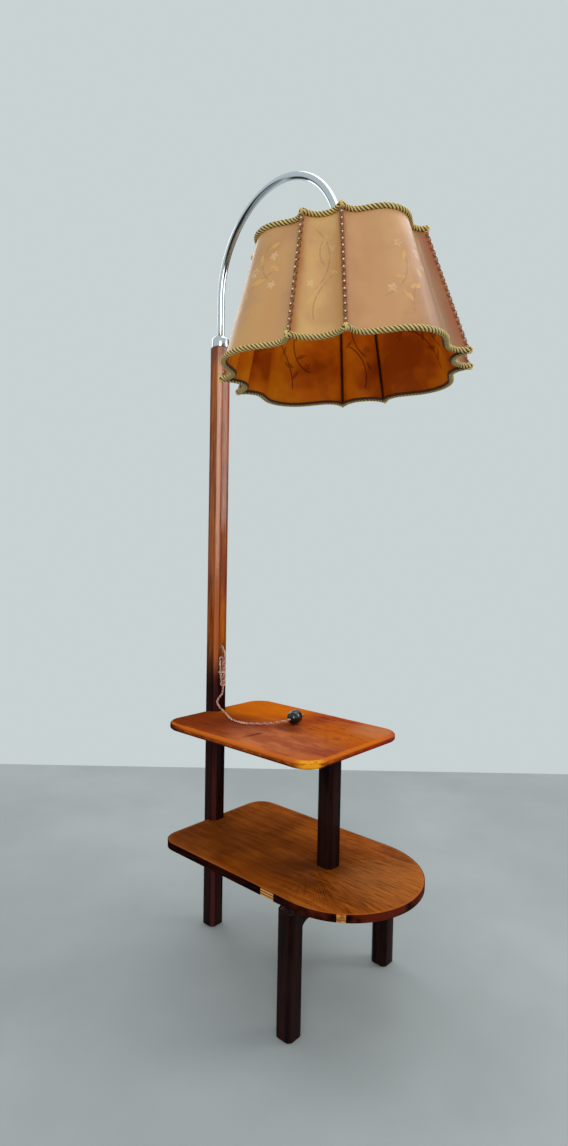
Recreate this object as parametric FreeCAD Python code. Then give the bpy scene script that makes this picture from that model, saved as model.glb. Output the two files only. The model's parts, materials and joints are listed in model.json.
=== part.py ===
"""Floor lamp with a two-tier side table: a chamfered wooden mast, two boards, a portal
of two legs and a rail, a chrome bow that swings in a collar, and a laced eight-panel shade.

Millimetres. The origin is the middle of the mast's foot on the floor, +Z is up and +X runs
along the boards, from the mast to the round end of the lower shelf.
"""
import FreeCAD
import Part
import math
import os

V = FreeCAD.Vector
UP = V(0, 0, 1)
ORIGIN = V(0, 0, 0)

# Mast, and the section that the legs and the short column share with it
POST_SIZE = 41.0
POST_CHAMFER = 7.5
POST_HEIGHT = 1434.0
POST_TOP_BEVEL = 2.0
FOOT_BEVEL = 2.0
WIRE_WAY_R = 5.0
WOOD_FIT = 0.15

# Boards
UPPER_TOP_Z = 544.0
UPPER_X0 = -4.0
UPPER_X1 = 442.0
UPPER_WIDTH = 326.0
UPPER_CORNER_R = 46.0
UPPER_THICK = 16.0
UPPER_BEVEL = 3.5
SHELF_TOP_Z = 271.0
SHELF_X0 = 0.0
SHELF_X1 = 574.0
SHELF_WIDTH = 340.0
SHELF_CORNER_R = 46.0
SHELF_THICK = 16.0
OVERCUT = 1.0
VENEER = 1.2
VENEER_FIT = 0.05
CHIP_SIDE_X = 325.0
CHIP_SIDE_LENGTH = 36.0
CHIP_BEND_ANGLE = -54.0
CHIP_BEND_LENGTH = 18.0

# Short column between the boards, and the portal under the shelf
COLUMN_X = 364.0
COLUMN_TENON = 22.0
COLUMN_TENON_LENGTH = 10.0
PORTAL_X = 401.0
LEG_INSET = 7.0
LEG_RISE = 8.0
LEG_DOME_R = 34.0
RAIL_THICK = 22.0
RAIL_DEPTH = 33.0
RAIL_BRACKET_R = 22.0
RAIL_TENON_THICK = 12.0
RAIL_TENON_DEPTH = 24.0
RAIL_TENON_LENGTH = 16.0
TENON_FIT = 0.1

# The screw that holds each board to the mast
SCREW_R = 2.2
SCREW_FLAT_COUNT = 8
SCREW_HEAD_R = 4.2
SCREW_HEAD_H = 2.4
SCREW_BITE = 26.0
SCREW_FIT = 0.1

# Collar, bush and bow
TUBE_R = 8.5
TUBE_WALL = 1.2
TUBE_FLAT_COUNT = 12
BOW_R = 200.0
BOW_START_Z = 1554.0
BOW_END_TILT = 4.0
TUBE_TAIL = 6.0
ARM_TURN = -6.6
SOCKET_DEPTH = 68.0
BUSH_R = 11.0
RUNNING_FIT = 0.06
STOP_RING_R = 13.0
STOP_RING_H = 6.0
COLLAR_R = 21.0
COLLAR_HEIGHT = 27.0
COLLAR_SHOULDER = 6.0
COLLAR_FIT = 0.4
SEAT_GAP = 0.1

# Lampholder, measured down the lamp's axis from the end of the bow
NIPPLE_R = 5.0
NIPPLE_BORE_R = 3.4
NIPPLE_REACH = 9.0
HOLDER_R = 19.8
HOLDER_FLAT_COUNT = 16
HOLDER_WALL = 1.6
CAP_CONE_H = 12.0
CAP_WALL_H = 8.0
INSERT_H = 13.0
SHOULDER_DROP = 54.0
THREAD_R = 17.0
THREAD_H = 12.0
THREAD_FIT = 0.2
KEY_DROP = 33.0
KEY_SHAFT_R = 2.2
KEY_INNER = 8.0
KEY_REACH = 32.0
KEY_WING_LENGTH = 15.0
KEY_WING_WIDTH = 11.0
KEY_WING_THICK = 5.0
SPIDER_RING_R = 30.0
SPIDER_RING_H = 2.0
RING_NUT_R = 25.0
RING_NUT_H = 8.0
RING_NUT_FLAT_COUNT = 12
BULB_CAP_R = 13.2
BULB_CAP_H = 24.0
BULB_NECK_R = 12.0
BULB_R = 30.0
BULB_LENGTH = 104.0
BULB_END_ANGLE = -75.0
BULB_FLAT_COUNT = 16
BULB_STEP_COUNT = 6
FLATNESS = 1e-6

# Shade, also measured down the lamp's axis: wide and narrow panels meet at eight seams
SHADE_DROP = 26.0
SHADE_HEIGHT = 244.0
SHADE_TURN = -57.4
WIDE_TURN = 45.0
SEAM_ANGLE = 11.6
SEAM_GAP_ANGLE = 0.05
TOP_SEAM_R = 172.5
BOTTOM_SEAM_R = 244.5
WIDE_BULGE = 48.0
CROWN_R = 75.0
CROWN_HALF_ANGLE = 45.0
FLARE_ANGLE = 40.0
NARROW_DIP = 32.0
CROWN_FLAT_COUNT = 4
FLARE_FLAT_COUNT = 7
NARROW_FLAT_COUNT = 11
PARCHMENT = 1.2
RIM_MARGIN = 2.0
FRAME_WIRE = 2.6
WIRE_FLAT_COUNT = 6
FRAME_FIT = 0.15
RIB_END_FIT = 0.4
SPIDER_WIRE = 4.0

# Cord: twisted two-core flex, tied up short on the mast's inner face and led to its plug
CORD_R = 2.6
CORD_FLAT_COUNT = 6
CORD_EXIT_Z = 704.0
EXIT_RUN = 14.6
LAYER_PITCH = 5.8
HANK_LEFT = -11.0
HANK_TOP_Z = 672.5
HANK_BOTTOM_Z = 614.0
HANK_END_Z = 601.0
LEAD_R = 2.5
LEAD_FLAT_COUNT = 4

# Plug
PLUG_NECK_R = 5.5
PLUG_NECK_H = 4.5
PLUG_SHOULDER_H = 23.5
PLUG_R = 17.0
PLUG_FLAT_COUNT = 12
PLUG_COVER_H = 28.5
PLUG_BASE_H = 4.0
PIN_R = 2.4
PIN_ROOT_R = 1.8
PIN_LENGTH = 19.0
PIN_SPACING = 19.0

HALF = POST_SIZE / 2.0
UPPER_UNDER_Z = UPPER_TOP_Z - UPPER_THICK
SHELF_UNDER_Z = SHELF_TOP_Z - SHELF_THICK
SHELF_HALF = SHELF_WIDTH / 2.0
LEG_Y = SHELF_HALF - LEG_INSET
LEG_INNER_Y = LEG_Y - HALF
SOCKET_Z = POST_HEIGHT - SOCKET_DEPTH
CAP_Z = -TUBE_TAIL - SEAT_GAP
CAP_END_Z = CAP_Z - CAP_CONE_H - CAP_WALL_H
INSERT_Z = CAP_END_Z - SEAT_GAP
INSERT_END_Z = INSERT_Z - INSERT_H
SHADE_TOP_Z = -SHADE_DROP
SHADE_BOTTOM_Z = -SHADE_DROP - SHADE_HEIGHT
TOP_SCALE = TOP_SEAM_R / BOTTOM_SEAM_R
BOW_END = V(BOW_R + BOW_R * math.cos(math.radians(BOW_END_TILT)), 0,
            BOW_START_Z + BOW_R * math.sin(math.radians(BOW_END_TILT)))
LAMP_DOWN = V(math.sin(math.radians(BOW_END_TILT)), 0, -math.cos(math.radians(BOW_END_TILT)))
EXIT_SLANT = V(1, 0, -1).normalize()
OUTER_LAYER_X = HALF + EXIT_RUN * EXIT_SLANT.x
INNER_LAYER_X = OUTER_LAYER_X - LAYER_PITCH
HANK_START_Z = CORD_EXIT_Z + EXIT_RUN * EXIT_SLANT.z - EXIT_RUN
TABLE_CORD_Z = UPPER_TOP_Z + CORD_R
PLUG_AXIS_Z = UPPER_TOP_Z + SEAT_GAP + PLUG_R * math.cos(math.pi / PLUG_FLAT_COUNT)

# The lead's route from the hank, down the mast and over the upper board to the plug
LEAD_ROUTE = [
    V(INNER_LAYER_X, 0, HANK_END_Z),
    V(25.0, 0.0, 590.5),
    V(25.4, -7.0, 582.5),
    V(26.0, -17.5, 577.0),
    V(28.5, -21.5, 566.0),
    V(38.0, -18.0, 555.5),
    V(52.0, -17.0, 548.6),
    V(72.0, -27.0, TABLE_CORD_Z + 0.1),
    V(98.0, -43.0, TABLE_CORD_Z),
    V(128.0, -51.0, TABLE_CORD_Z),
    V(156.0, -46.0, TABLE_CORD_Z),
    V(175.0, -32.0, TABLE_CORD_Z),
    V(190.0, -20.0, 547.4),
    V(204.0, -13.5, 550.6),
    V(217.0, -12.8, 554.3),
    V(229.0, -10.7, 557.8),
    V(234.8, -6.7, 559.5),
    V(238.1, -0.6, 560.3),
    V(238.2, 6.4, PLUG_AXIS_Z),
    V(236.4, 13.2, PLUG_AXIS_Z),
]
PLUG_DIRECTION = LEAD_ROUTE[-1] - LEAD_ROUTE[-2]


def polar(radius, degrees):
    """A point in the plane at a radius and an angle."""
    a = math.radians(degrees)
    return V(radius * math.cos(a), radius * math.sin(a), 0)


def turned_about_axis(point, degrees):
    """A point turned about the Z axis."""
    return FreeCAD.Rotation(UP, degrees).multVec(point)


def polygon(points):
    """A closed wire through points."""
    return Part.Wire(Part.makePolygon(points + points[:1]))


def rod(radius, start, direction, length):
    """A cylinder from a point along a direction."""
    return Part.makeCylinder(radius, length, start, direction)


def block(x, y, z0, size_x, size_y, height):
    """A box whose foot is centred on a point."""
    return Part.makeBox(size_x, size_y, height, V(x - size_x / 2.0, y - size_y / 2.0, z0))


def bar(z0, z1, x=0.0, y=0.0, widen=0.0):
    """An upright square bar with planed corners; widen grows it all round."""
    h = HALF + widen
    k = HALF - POST_CHAMFER + widen * math.tan(math.radians(22.5))
    corners = [(k, -h), (h, -k), (h, k), (k, h), (-k, h), (-h, k), (-h, -k), (-k, -h)]
    return Part.Face(polygon([V(x + a, y + b, z0) for a, b in corners])).extrude(V(0, 0, z1 - z0))


def level_edges(shape, z):
    """The edges of a shape that lie at one height."""
    return [e for e in shape.Edges if all(abs(v.Z - z) < 1e-4 for v in e.Vertexes)]


def turned(profile):
    """A solid turned about Z from a closed outline of (radius, height) pairs."""
    return Part.Face(polygon([V(r, 0, z) for r, z in profile])).revolve(ORIGIN, UP, 360)


def ring(outer, inner, z0, z1):
    """A plain ring or sleeve between two heights."""
    return turned([(inner, z0), (outer, z0), (outer, z1), (inner, z1)])


def cut_all(body, tools):
    """A body with each tool cut out of it."""
    for tool in tools:
        body = body.cut(tool)
    return body


def on_arm(shape):
    """Swing a shape about the mast's axis to where the arm stands."""
    shape.rotate(ORIGIN, UP, ARM_TURN)
    return shape


def on_lamp(shape):
    """Take a shape built down from the origin to the end of the bow, and swing it with the arm."""
    shape.rotate(ORIGIN, V(0, 1, 0), -BOW_END_TILT)
    shape.translate(BOW_END)
    return on_arm(shape)


def arc_edge(centre, radius, start, end):
    """An arc about a centre from one angle to another."""
    angles = (start, (start + end) / 2.0, end)
    return Part.Arc(*[centre + polar(radius, a) for a in angles]).toShape()


def line_edge(start, end):
    """A straight edge."""
    return Part.LineSegment(start, end).toShape()


def board_outline(x0, x1, half_width, corner_r, z, round_end=False, inset=0.0):
    """A board's outline: two round corners at the mast, and two or a half circle at the far end."""
    x0 += inset
    x1 -= inset
    w = half_width - inset
    r = corner_r - inset
    far = w if round_end else r
    edges = [line_edge(V(x0 + r, -w, z), V(x1 - far, -w, z))]
    if round_end:
        edges.append(arc_edge(V(x1 - w, 0, z), w, -90, 90))
    else:
        edges.append(arc_edge(V(x1 - r, r - w, z), r, -90, 0))
        edges.append(line_edge(V(x1, r - w, z), V(x1, w - r, z)))
        edges.append(arc_edge(V(x1 - r, w - r, z), r, 0, 90))
    edges.append(line_edge(V(x1 - far, w, z), V(x0 + r, w, z)))
    edges.append(arc_edge(V(x0 + r, w - r, z), r, 90, 180))
    edges.append(line_edge(V(x0, w - r, z), V(x0, r - w, z)))
    edges.append(arc_edge(V(x0 + r, r - w, z), r, 180, 270))
    return Part.Wire(edges)


def shelf_plate(inset):
    """The lower shelf's plate, moved in from its outline by an inset."""
    wire = board_outline(SHELF_X0, SHELF_X1, SHELF_HALF, SHELF_CORNER_R, SHELF_UNDER_Z, True, inset)
    return Part.Face(wire).extrude(V(0, 0, SHELF_THICK))


def screw_places():
    """Where each board's screw starts, on the mast's back."""
    middles = (SHELF_UNDER_Z + SHELF_THICK / 2.0, UPPER_UNDER_Z + UPPER_THICK / 2.0)
    return [V(-HALF, 0, z) for z in middles]


def board_screws():
    """For each board, a screw through the mast into the board's edge, with flat sides."""
    screws = []
    for at in screw_places():
        head = flat_rod(SCREW_HEAD_R, at, V(SCREW_HEAD_H, 0, 0), SCREW_FLAT_COUNT)
        shank = flat_rod(SCREW_R, at, V(POST_SIZE + SCREW_BITE, 0, 0), SCREW_FLAT_COUNT)
        screws.append(head.fuse(shank))
    return screws


def screw_holes():
    """The round hole and head recess for each screw."""
    holes = []
    for at in screw_places():
        head = rod(SCREW_HEAD_R + SCREW_FIT, at, V(1, 0, 0), SCREW_HEAD_H + SCREW_FIT)
        holes.append(head.fuse(rod(SCREW_R + SCREW_FIT, at, V(1, 0, 0), POST_SIZE + SCREW_BITE + SCREW_FIT)))
    return holes


def make_post():
    """The mast: socket at the top, wire way down its middle and a slanted way out."""
    post = bar(0, POST_HEIGHT)
    post = post.makeChamfer(POST_TOP_BEVEL, level_edges(post, POST_HEIGHT))
    post = post.makeChamfer(FOOT_BEVEL, level_edges(post, 0))
    corner_z = CORD_EXIT_Z + HALF
    socket = rod(BUSH_R + SEAT_GAP, V(0, 0, SOCKET_Z), UP, SOCKET_DEPTH)
    way = rod(WIRE_WAY_R, V(0, 0, corner_z), UP, POST_HEIGHT - corner_z)
    exit_way = rod(WIRE_WAY_R, V(0, 0, corner_z), EXIT_SLANT, POST_SIZE)
    return cut_all(post, [socket, way, exit_way] + screw_holes())


def make_upper_table():
    """The upper board: bevelled edges, a notch round the mast and a mortise under it."""
    wire = board_outline(UPPER_X0, UPPER_X1, UPPER_WIDTH / 2.0, UPPER_CORNER_R, UPPER_UNDER_Z)
    board = Part.Face(wire).extrude(V(0, 0, UPPER_THICK))
    rims = level_edges(board, UPPER_TOP_Z) + level_edges(board, UPPER_UNDER_Z)
    board = board.makeChamfer(UPPER_BEVEL, rims)
    tools = [bar(UPPER_UNDER_Z - 1, UPPER_TOP_Z + 1, widen=WOOD_FIT), column_mortises()[1]]
    return cut_all(board, tools + screw_holes())


def make_lower_shelf():
    """The shelf board inside its edge veneer: one end nearly square, the other round."""
    tools = [bar(SHELF_UNDER_Z - 1, SHELF_TOP_Z + 1, widen=WOOD_FIT), column_mortises()[0]]
    return cut_all(shelf_plate(VENEER), tools + screw_holes())


def make_shelf_edge_band():
    """The strip of edge veneer, missing in two places where it has chipped off."""
    tall = SHELF_THICK + 2 * OVERCUT
    deep = 4 * VENEER
    band = shelf_plate(0).cut(shelf_plate(VENEER - VENEER_FIT))
    side_chip = block(CHIP_SIDE_X + CHIP_SIDE_LENGTH / 2.0, -SHELF_HALF, SHELF_UNDER_Z - OVERCUT,
                      CHIP_SIDE_LENGTH, deep, tall)
    bend_chip = block(SHELF_HALF, 0, SHELF_UNDER_Z - OVERCUT, deep, CHIP_BEND_LENGTH, tall)
    bend_chip.rotate(ORIGIN, UP, CHIP_BEND_ANGLE)
    bend_chip.translate(V(SHELF_X1 - SHELF_HALF, 0, 0))
    notch = bar(SHELF_UNDER_Z - 1, SHELF_TOP_Z + 1, widen=WOOD_FIT)
    return cut_all(band, [side_chip, bend_chip, notch])


def column_mortises():
    """The mortises in the shelf's top and the upper board's underside."""
    side = COLUMN_TENON + 2 * TENON_FIT
    deep = COLUMN_TENON_LENGTH + TENON_FIT
    low = block(COLUMN_X, 0, SHELF_TOP_Z - deep, side, side, deep)
    high = block(COLUMN_X, 0, UPPER_UNDER_Z, side, side, deep)
    return low, high


def make_short_column():
    """The short column between the boards, with a stub tenon at each end."""
    core = block(COLUMN_X, 0, SHELF_TOP_Z - COLUMN_TENON_LENGTH, COLUMN_TENON, COLUMN_TENON,
                 UPPER_UNDER_Z - SHELF_TOP_Z + 2 * COLUMN_TENON_LENGTH)
    return bar(SHELF_TOP_Z, UPPER_UNDER_Z, COLUMN_X).fuse(core)


def make_leg(side):
    """A leg: the shelf lies on its inner half, and its outer half stands proud and domed."""
    y = side * LEG_Y
    top = SHELF_UNDER_Z + LEG_RISE
    leg = bar(0, top + 1, PORTAL_X, y)
    leg = leg.makeChamfer(FOOT_BEVEL, level_edges(leg, 0))
    dome_z = top - LEG_DOME_R
    dome = Part.makeSphere(LEG_DOME_R, V(PORTAL_X, y, dome_z), UP, 0, 90, 360)
    leg = leg.common(dome.fuse(rod(LEG_DOME_R, V(PORTAL_X, y, 0), UP, dome_z)))
    tenon_way = LEG_INNER_Y + RAIL_TENON_LENGTH + TENON_FIT
    mortise = block(PORTAL_X, 0, rail_tenon_z() - TENON_FIT, RAIL_TENON_THICK + 2 * TENON_FIT,
                    2 * tenon_way, RAIL_TENON_DEPTH + 2 * TENON_FIT)
    return cut_all(leg, [shelf_plate(-WOOD_FIT), mortise])


def rail_tenon_z():
    """The underside of the rail's tenons."""
    return SHELF_UNDER_Z - (RAIL_DEPTH + RAIL_TENON_DEPTH) / 2.0


def make_cross_rail():
    """The rail under the shelf, with a hollow bracket curve and a tenon at each leg."""
    end = LEG_INNER_Y
    top = SHELF_UNDER_Z
    low = top - RAIL_DEPTH
    r = RAIL_BRACKET_R
    x = PORTAL_X - RAIL_THICK / 2.0
    k = r * (1 - math.sqrt(0.5))
    edges = [
        line_edge(V(x, -end, top), V(x, end, top)),
        line_edge(V(x, end, top), V(x, end, low - r)),
        Part.Arc(V(x, end, low - r), V(x, end - k, low - k), V(x, end - r, low)).toShape(),
        line_edge(V(x, end - r, low), V(x, r - end, low)),
        Part.Arc(V(x, r - end, low), V(x, k - end, low - k), V(x, -end, low - r)).toShape(),
        line_edge(V(x, -end, low - r), V(x, -end, top)),
    ]
    rail = Part.Face(Part.Wire(edges)).extrude(V(RAIL_THICK, 0, 0))
    reach = 2 * (end + RAIL_TENON_LENGTH)
    return rail.fuse(block(PORTAL_X, 0, rail_tenon_z(), RAIL_TENON_THICK, reach, RAIL_TENON_DEPTH))


def make_arm_bush():
    """The sleeve in the mast's top that the bow's tube turns in."""
    return ring(BUSH_R, TUBE_R + RUNNING_FIT, SOCKET_Z, POST_HEIGHT)


def make_post_collar():
    """The collar: straight wall, sloped shoulder, and a hollow that holds the stop ring down."""
    z0 = POST_HEIGHT
    top = z0 + COLLAR_HEIGHT
    shoulder_z = top - COLLAR_SHOULDER
    bore = TUBE_R + COLLAR_FIT
    hollow = STOP_RING_R + COLLAR_FIT
    roof = z0 + STOP_RING_H + 3 * SEAT_GAP
    return turned([
        (hollow, z0), (COLLAR_R, z0), (COLLAR_R, shoulder_z), (COLLAR_R - COLLAR_SHOULDER, top),
        (bore, top), (bore, roof), (hollow, roof),
    ])


def section_wire(radius, at, direction, flats):
    """A tube's section as a regular polygon inside its circle, square to a direction."""
    turn = FreeCAD.Rotation(UP, direction)
    step = 360.0 / flats
    return polygon([at + turn.multVec(polar(radius, step * (i + 0.5))) for i in range(flats)])


def flat_rod(radius, start, span, flats):
    """A straight rod with flat sides, from a point over a span."""
    return Part.Face(section_wire(radius, start, span, flats)).extrude(span)


def sweep(radius, edges, flats):
    """A tube swept along lines and tangent arcs."""
    first = edges[0]
    direction = first.tangentAt(first.FirstParameter)
    start = first.valueAt(first.FirstParameter)
    section = section_wire(radius, start, direction, flats)
    return Part.Wire(edges).makePipeShell([section], True, False)


def bow_edges(low_z, tail):
    """The bow's centre line: up from a height, over, and down its tail on the lamp's axis."""
    start = V(0, 0, BOW_START_Z)
    middle_angle = math.radians((180 + BOW_END_TILT) / 2.0)
    middle = start + V(BOW_R + BOW_R * math.cos(middle_angle), 0, BOW_R * math.sin(middle_angle))
    return [line_edge(V(0, 0, low_z), start), Part.Arc(start, middle, BOW_END).toShape(),
            line_edge(BOW_END, BOW_END + LAMP_DOWN * tail)]


def make_arch_tube():
    """The chrome bow: round where it turns, with its stop ring below and its nipple at the end."""
    journal_top = POST_HEIGHT + STOP_RING_H + SEAT_GAP
    low = SOCKET_Z + 1
    bore = TUBE_R - TUBE_WALL
    tube = sweep(TUBE_R, bow_edges(journal_top, TUBE_TAIL), TUBE_FLAT_COUNT)
    tube = tube.fuse(rod(TUBE_R, V(0, 0, low), UP, journal_top - low))
    tube = tube.fuse(rod(STOP_RING_R, V(0, 0, POST_HEIGHT + SEAT_GAP), UP, STOP_RING_H))
    tube = tube.cut(sweep(bore, bow_edges(low - 1, TUBE_TAIL + 1), TUBE_FLAT_COUNT // 2))
    plug = rod(bore, ORIGIN, -UP, TUBE_TAIL).fuse(rod(NIPPLE_R, ORIGIN, -UP, TUBE_TAIL + NIPPLE_REACH))
    nipple = plug.cut(rod(NIPPLE_BORE_R, UP, -UP, TUBE_TAIL + NIPPLE_REACH + 2))
    nipple.rotate(ORIGIN, V(0, 1, 0), -BOW_END_TILT)
    nipple.translate(BOW_END)
    return tube.fuse(nipple)


def make_arm_lead():
    """The lead inside the bow, from the foot of the tube to the lampholder's insert."""
    return sweep(LEAD_R, bow_edges(SOCKET_Z + 1, -INSERT_Z - SEAT_GAP), LEAD_FLAT_COUNT)


def make_post_lead():
    """The lead inside the mast, from the bow's foot down to the slanted way out."""
    top = V(0, 0, SOCKET_Z + 1 - SEAT_GAP)
    corner = V(0, 0, CORD_EXIT_Z + HALF)
    out = V(HALF, 0, CORD_EXIT_Z)
    return sweep(LEAD_R, rounded_route([top, corner, out])[0], LEAD_FLAT_COUNT)


def rounded_route(points):
    """Straight runs joined by tangent arcs; also each bend's radius and the whole length."""
    edges = []
    radii = []
    length = 0.0
    at = points[0]
    for before, corner, after in zip(points, points[1:], points[2:]):
        a = (corner - before).normalize()
        b = (after - corner).normalize()
        turn = a.getAngle(b)
        cut = 0.45 * min((corner - before).Length, (after - corner).Length)
        radius = cut / math.tan(turn / 2.0)
        start = corner - a * cut
        end = corner + b * cut
        middle = corner + (b - a).normalize() * (radius / math.cos(turn / 2.0) - radius)
        edges += [line_edge(at, start), Part.Arc(start, middle, end).toShape()]
        length += (start - at).Length + radius * turn
        radii.append(radius)
        at = end
    edges.append(line_edge(at, points[-1]))
    return edges, radii, length + (points[-1] - at).Length


def cord_tube(name, edges, radii, length):
    """A stretch of cord; prints its bends and length, and its volume against section by length."""
    solid = sweep(CORD_R, edges, CORD_FLAT_COUNT)
    section = CORD_FLAT_COUNT * CORD_R ** 2 * math.sin(2 * math.pi / CORD_FLAT_COUNT) / 2.0
    print(name, "length", round(length, 1), "radii", [round(r, 1) for r in radii],
          "volume ratio", round(solid.Volume / (section * length), 4))
    return solid


def make_cord_start():
    """The cord's first stretch: out of the slanted way and down to the hank."""
    out = V(HALF, 0, CORD_EXIT_Z)
    corner = out + EXIT_SLANT * EXIT_RUN
    return cord_tube("cord_start", *rounded_route([out, corner, corner - UP * EXIT_RUN]))


def s_bend(start, end):
    """Two equal arcs that carry an upright run sideways, upright again at its end."""
    middle = (start + end) * 0.5
    rise = (end - start).z / 2.0
    side = V((end - start).x, (end - start).y, 0) * 0.5
    radius = (rise ** 2 + side.Length ** 2) / (2 * side.Length)
    half_turn = math.asin(rise / radius) / 2.0
    reach = side.normalize() * (radius * (1 - math.cos(half_turn)))
    climb = UP * (radius * math.sin(half_turn))
    first = Part.Arc(start, start + reach + climb, middle).toShape()
    second = Part.Arc(middle, end - reach - climb, end).toShape()
    return [first, second], 4 * half_turn * radius


def make_cord_hank():
    """The hank: down in the outer layer, round and up into the inner one, and down again."""
    xo = OUTER_LAYER_X
    xi = INNER_LAYER_X
    mid = HANK_LEFT / 2.0
    r = abs(mid)
    low_arc = Part.Arc(V(xo, 0, HANK_BOTTOM_Z), V(xo, mid, HANK_BOTTOM_Z - r),
                       V(xo, HANK_LEFT, HANK_BOTTOM_Z))
    high_arc = Part.Arc(V(xi, HANK_LEFT, HANK_TOP_Z), V(xi, mid, HANK_TOP_Z + r),
                        V(xi, 0, HANK_TOP_Z))
    climb, climb_length = s_bend(V(xo, HANK_LEFT, HANK_BOTTOM_Z), V(xi, HANK_LEFT, HANK_TOP_Z))
    edges = [line_edge(V(xo, 0, HANK_START_Z), V(xo, 0, HANK_BOTTOM_Z)), low_arc.toShape()]
    edges += climb + [high_arc.toShape(), line_edge(V(xi, 0, HANK_TOP_Z), V(xi, 0, HANK_END_Z))]
    length = HANK_START_Z - HANK_BOTTOM_Z + 2 * math.pi * r + climb_length + HANK_TOP_Z - HANK_END_Z
    print("cord_hank least gap to itself", round(least_gap(edges), 2))
    return cord_tube("cord_hank", edges, [r, r], length)


def least_gap(edges):
    """The least gap between stretches of one cord, measured on points along its line."""
    points = []
    walked = 0.0
    for edge in edges:
        count = max(3, int(edge.Length / 2.0))
        span = edge.LastParameter - edge.FirstParameter
        for i in range(count):
            share = i / count
            points.append((walked + edge.Length * share, edge.valueAt(edge.FirstParameter + span * share)))
        walked += edge.Length
    gap = walked
    for i, (along, point) in enumerate(points):
        for far_along, far_point in points[i + 1:]:
            if far_along - along > 6 * CORD_R:
                gap = min(gap, (point - far_point).Length - 2 * CORD_R)
    return gap


def make_lampholder_cap():
    """The lampholder's upper half, faceted for the grip and screwed on the bow's nipple."""
    profile = [(HOLDER_R, CAP_END_Z), (HOLDER_R, CAP_END_Z + CAP_WALL_H), (TUBE_R, CAP_Z)]
    thread = rod(NIPPLE_R + SEAT_GAP, V(0, 0, CAP_END_Z), UP, CAP_Z - CAP_END_Z)
    return flat_turned(profile, HOLDER_FLAT_COUNT).cut(thread)


def insert_pocket_radius():
    """The round pocket for the insert, a wall's thickness inside the lampholder's flats."""
    return HOLDER_R * math.cos(math.pi / HOLDER_FLAT_COUNT) - HOLDER_WALL


def make_lampholder_body():
    """The lower half: room for the insert, a shoulder for the shade and a thread for the bulb."""
    low = -SHOULDER_DROP - THREAD_H
    pocket_z = INSERT_END_Z - SEAT_GAP
    body = flat_turned([(HOLDER_R, -SHOULDER_DROP), (HOLDER_R, INSERT_Z)], HOLDER_FLAT_COUNT)
    body = body.fuse(rod(THREAD_R, V(0, 0, low), UP, THREAD_H))
    return cut_all(body, [
        rod(BULB_CAP_R + THREAD_FIT, V(0, 0, low), UP, pocket_z - low),
        rod(insert_pocket_radius(), V(0, 0, pocket_z), UP, INSERT_Z - pocket_z),
        key_rod(KEY_SHAFT_R + RUNNING_FIT, KEY_INNER),
    ])


def key_rod(radius, inner):
    """A rod along the switch key's axis, from a distance off the lamp's axis outwards."""
    return rod(radius, V(0, inner, -KEY_DROP), V(0, 1, 0), KEY_REACH - inner)


def make_lampholder_insert():
    """The ceramic insert that carries the contacts, drilled for the switch key."""
    radius = insert_pocket_radius() - SEAT_GAP
    profile = [(radius, INSERT_END_Z), (radius, INSERT_Z - SEAT_GAP)]
    insert = flat_turned(profile, HOLDER_FLAT_COUNT)
    return insert.cut(key_rod(KEY_SHAFT_R + RUNNING_FIT, KEY_INNER - SEAT_GAP))


def make_switch_key():
    """The switch key: a shaft into the insert and a flat wing to turn it by."""
    wing = Part.makeBox(KEY_WING_WIDTH, KEY_WING_LENGTH, KEY_WING_THICK,
                        V(-KEY_WING_WIDTH / 2.0, KEY_REACH, -KEY_DROP - KEY_WING_THICK / 2.0))
    uprights = [e for e in wing.Edges if abs(e.Vertexes[0].Z - e.Vertexes[1].Z) > 1]
    tips = [e for e in uprights if e.Vertexes[0].Y > KEY_REACH + 1]
    wing = wing.makeChamfer(KEY_WING_WIDTH / 4.0, tips)
    return wing.fuse(key_rod(KEY_SHAFT_R, KEY_INNER))


def flat_quad(a, b, c, d):
    """A flat face through four corners, or two triangles where they don't lie in one plane."""
    normal = (b - a).cross(c - a).normalize()
    if abs(normal.dot(d - a)) < FLATNESS:
        return [Part.Face(polygon([a, b, c, d]))]
    return [Part.Face(polygon([a, b, c])), Part.Face(polygon([a, c, d]))]


def flat_sided(rings):
    """A solid whose sides are flat faces between rings of as many points each."""
    faces = [Part.Face(polygon(rings[0])), Part.Face(polygon(rings[-1]))]
    for low, high in zip(rings, rings[1:]):
        for i in range(len(low)):
            faces += flat_quad(low[i - 1], low[i], high[i], high[i - 1])
    return Part.Solid(Part.Shell(faces))


def flat_turned(profile, flats):
    """A many-sided solid about Z through (corner radius, height) pairs, a flat towards each axis."""
    step = 360.0 / flats
    corners = [(i + 0.5) * step for i in range(flats)]
    return flat_sided([lifted([polar(r, a) for a in corners], z) for r, z in profile])


def make_bulb():
    """The bulb: a cap with its contact, and a glass whose neck runs tangent into its ball."""
    top = INSERT_END_Z - SEAT_GAP
    neck_z = top - BULB_CAP_H
    centre_z = top - BULB_LENGTH + BULB_R
    drop = neck_z - centre_z
    span = math.hypot(drop, BULB_NECK_R)
    touch = 90.0 - math.degrees(math.acos(BULB_R / span) + math.asin(BULB_NECK_R / span))
    glass = [(BULB_NECK_R, neck_z)]
    for degrees in spread(touch, BULB_END_ANGLE, BULB_STEP_COUNT):
        a = math.radians(degrees)
        glass.append((BULB_R * math.cos(a), centre_z + BULB_R * math.sin(a)))
    cap = rod(BULB_CAP_R, V(0, 0, neck_z), UP, BULB_CAP_H)
    return flat_turned(glass[::-1], BULB_FLAT_COUNT).fuse(cap)


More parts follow.
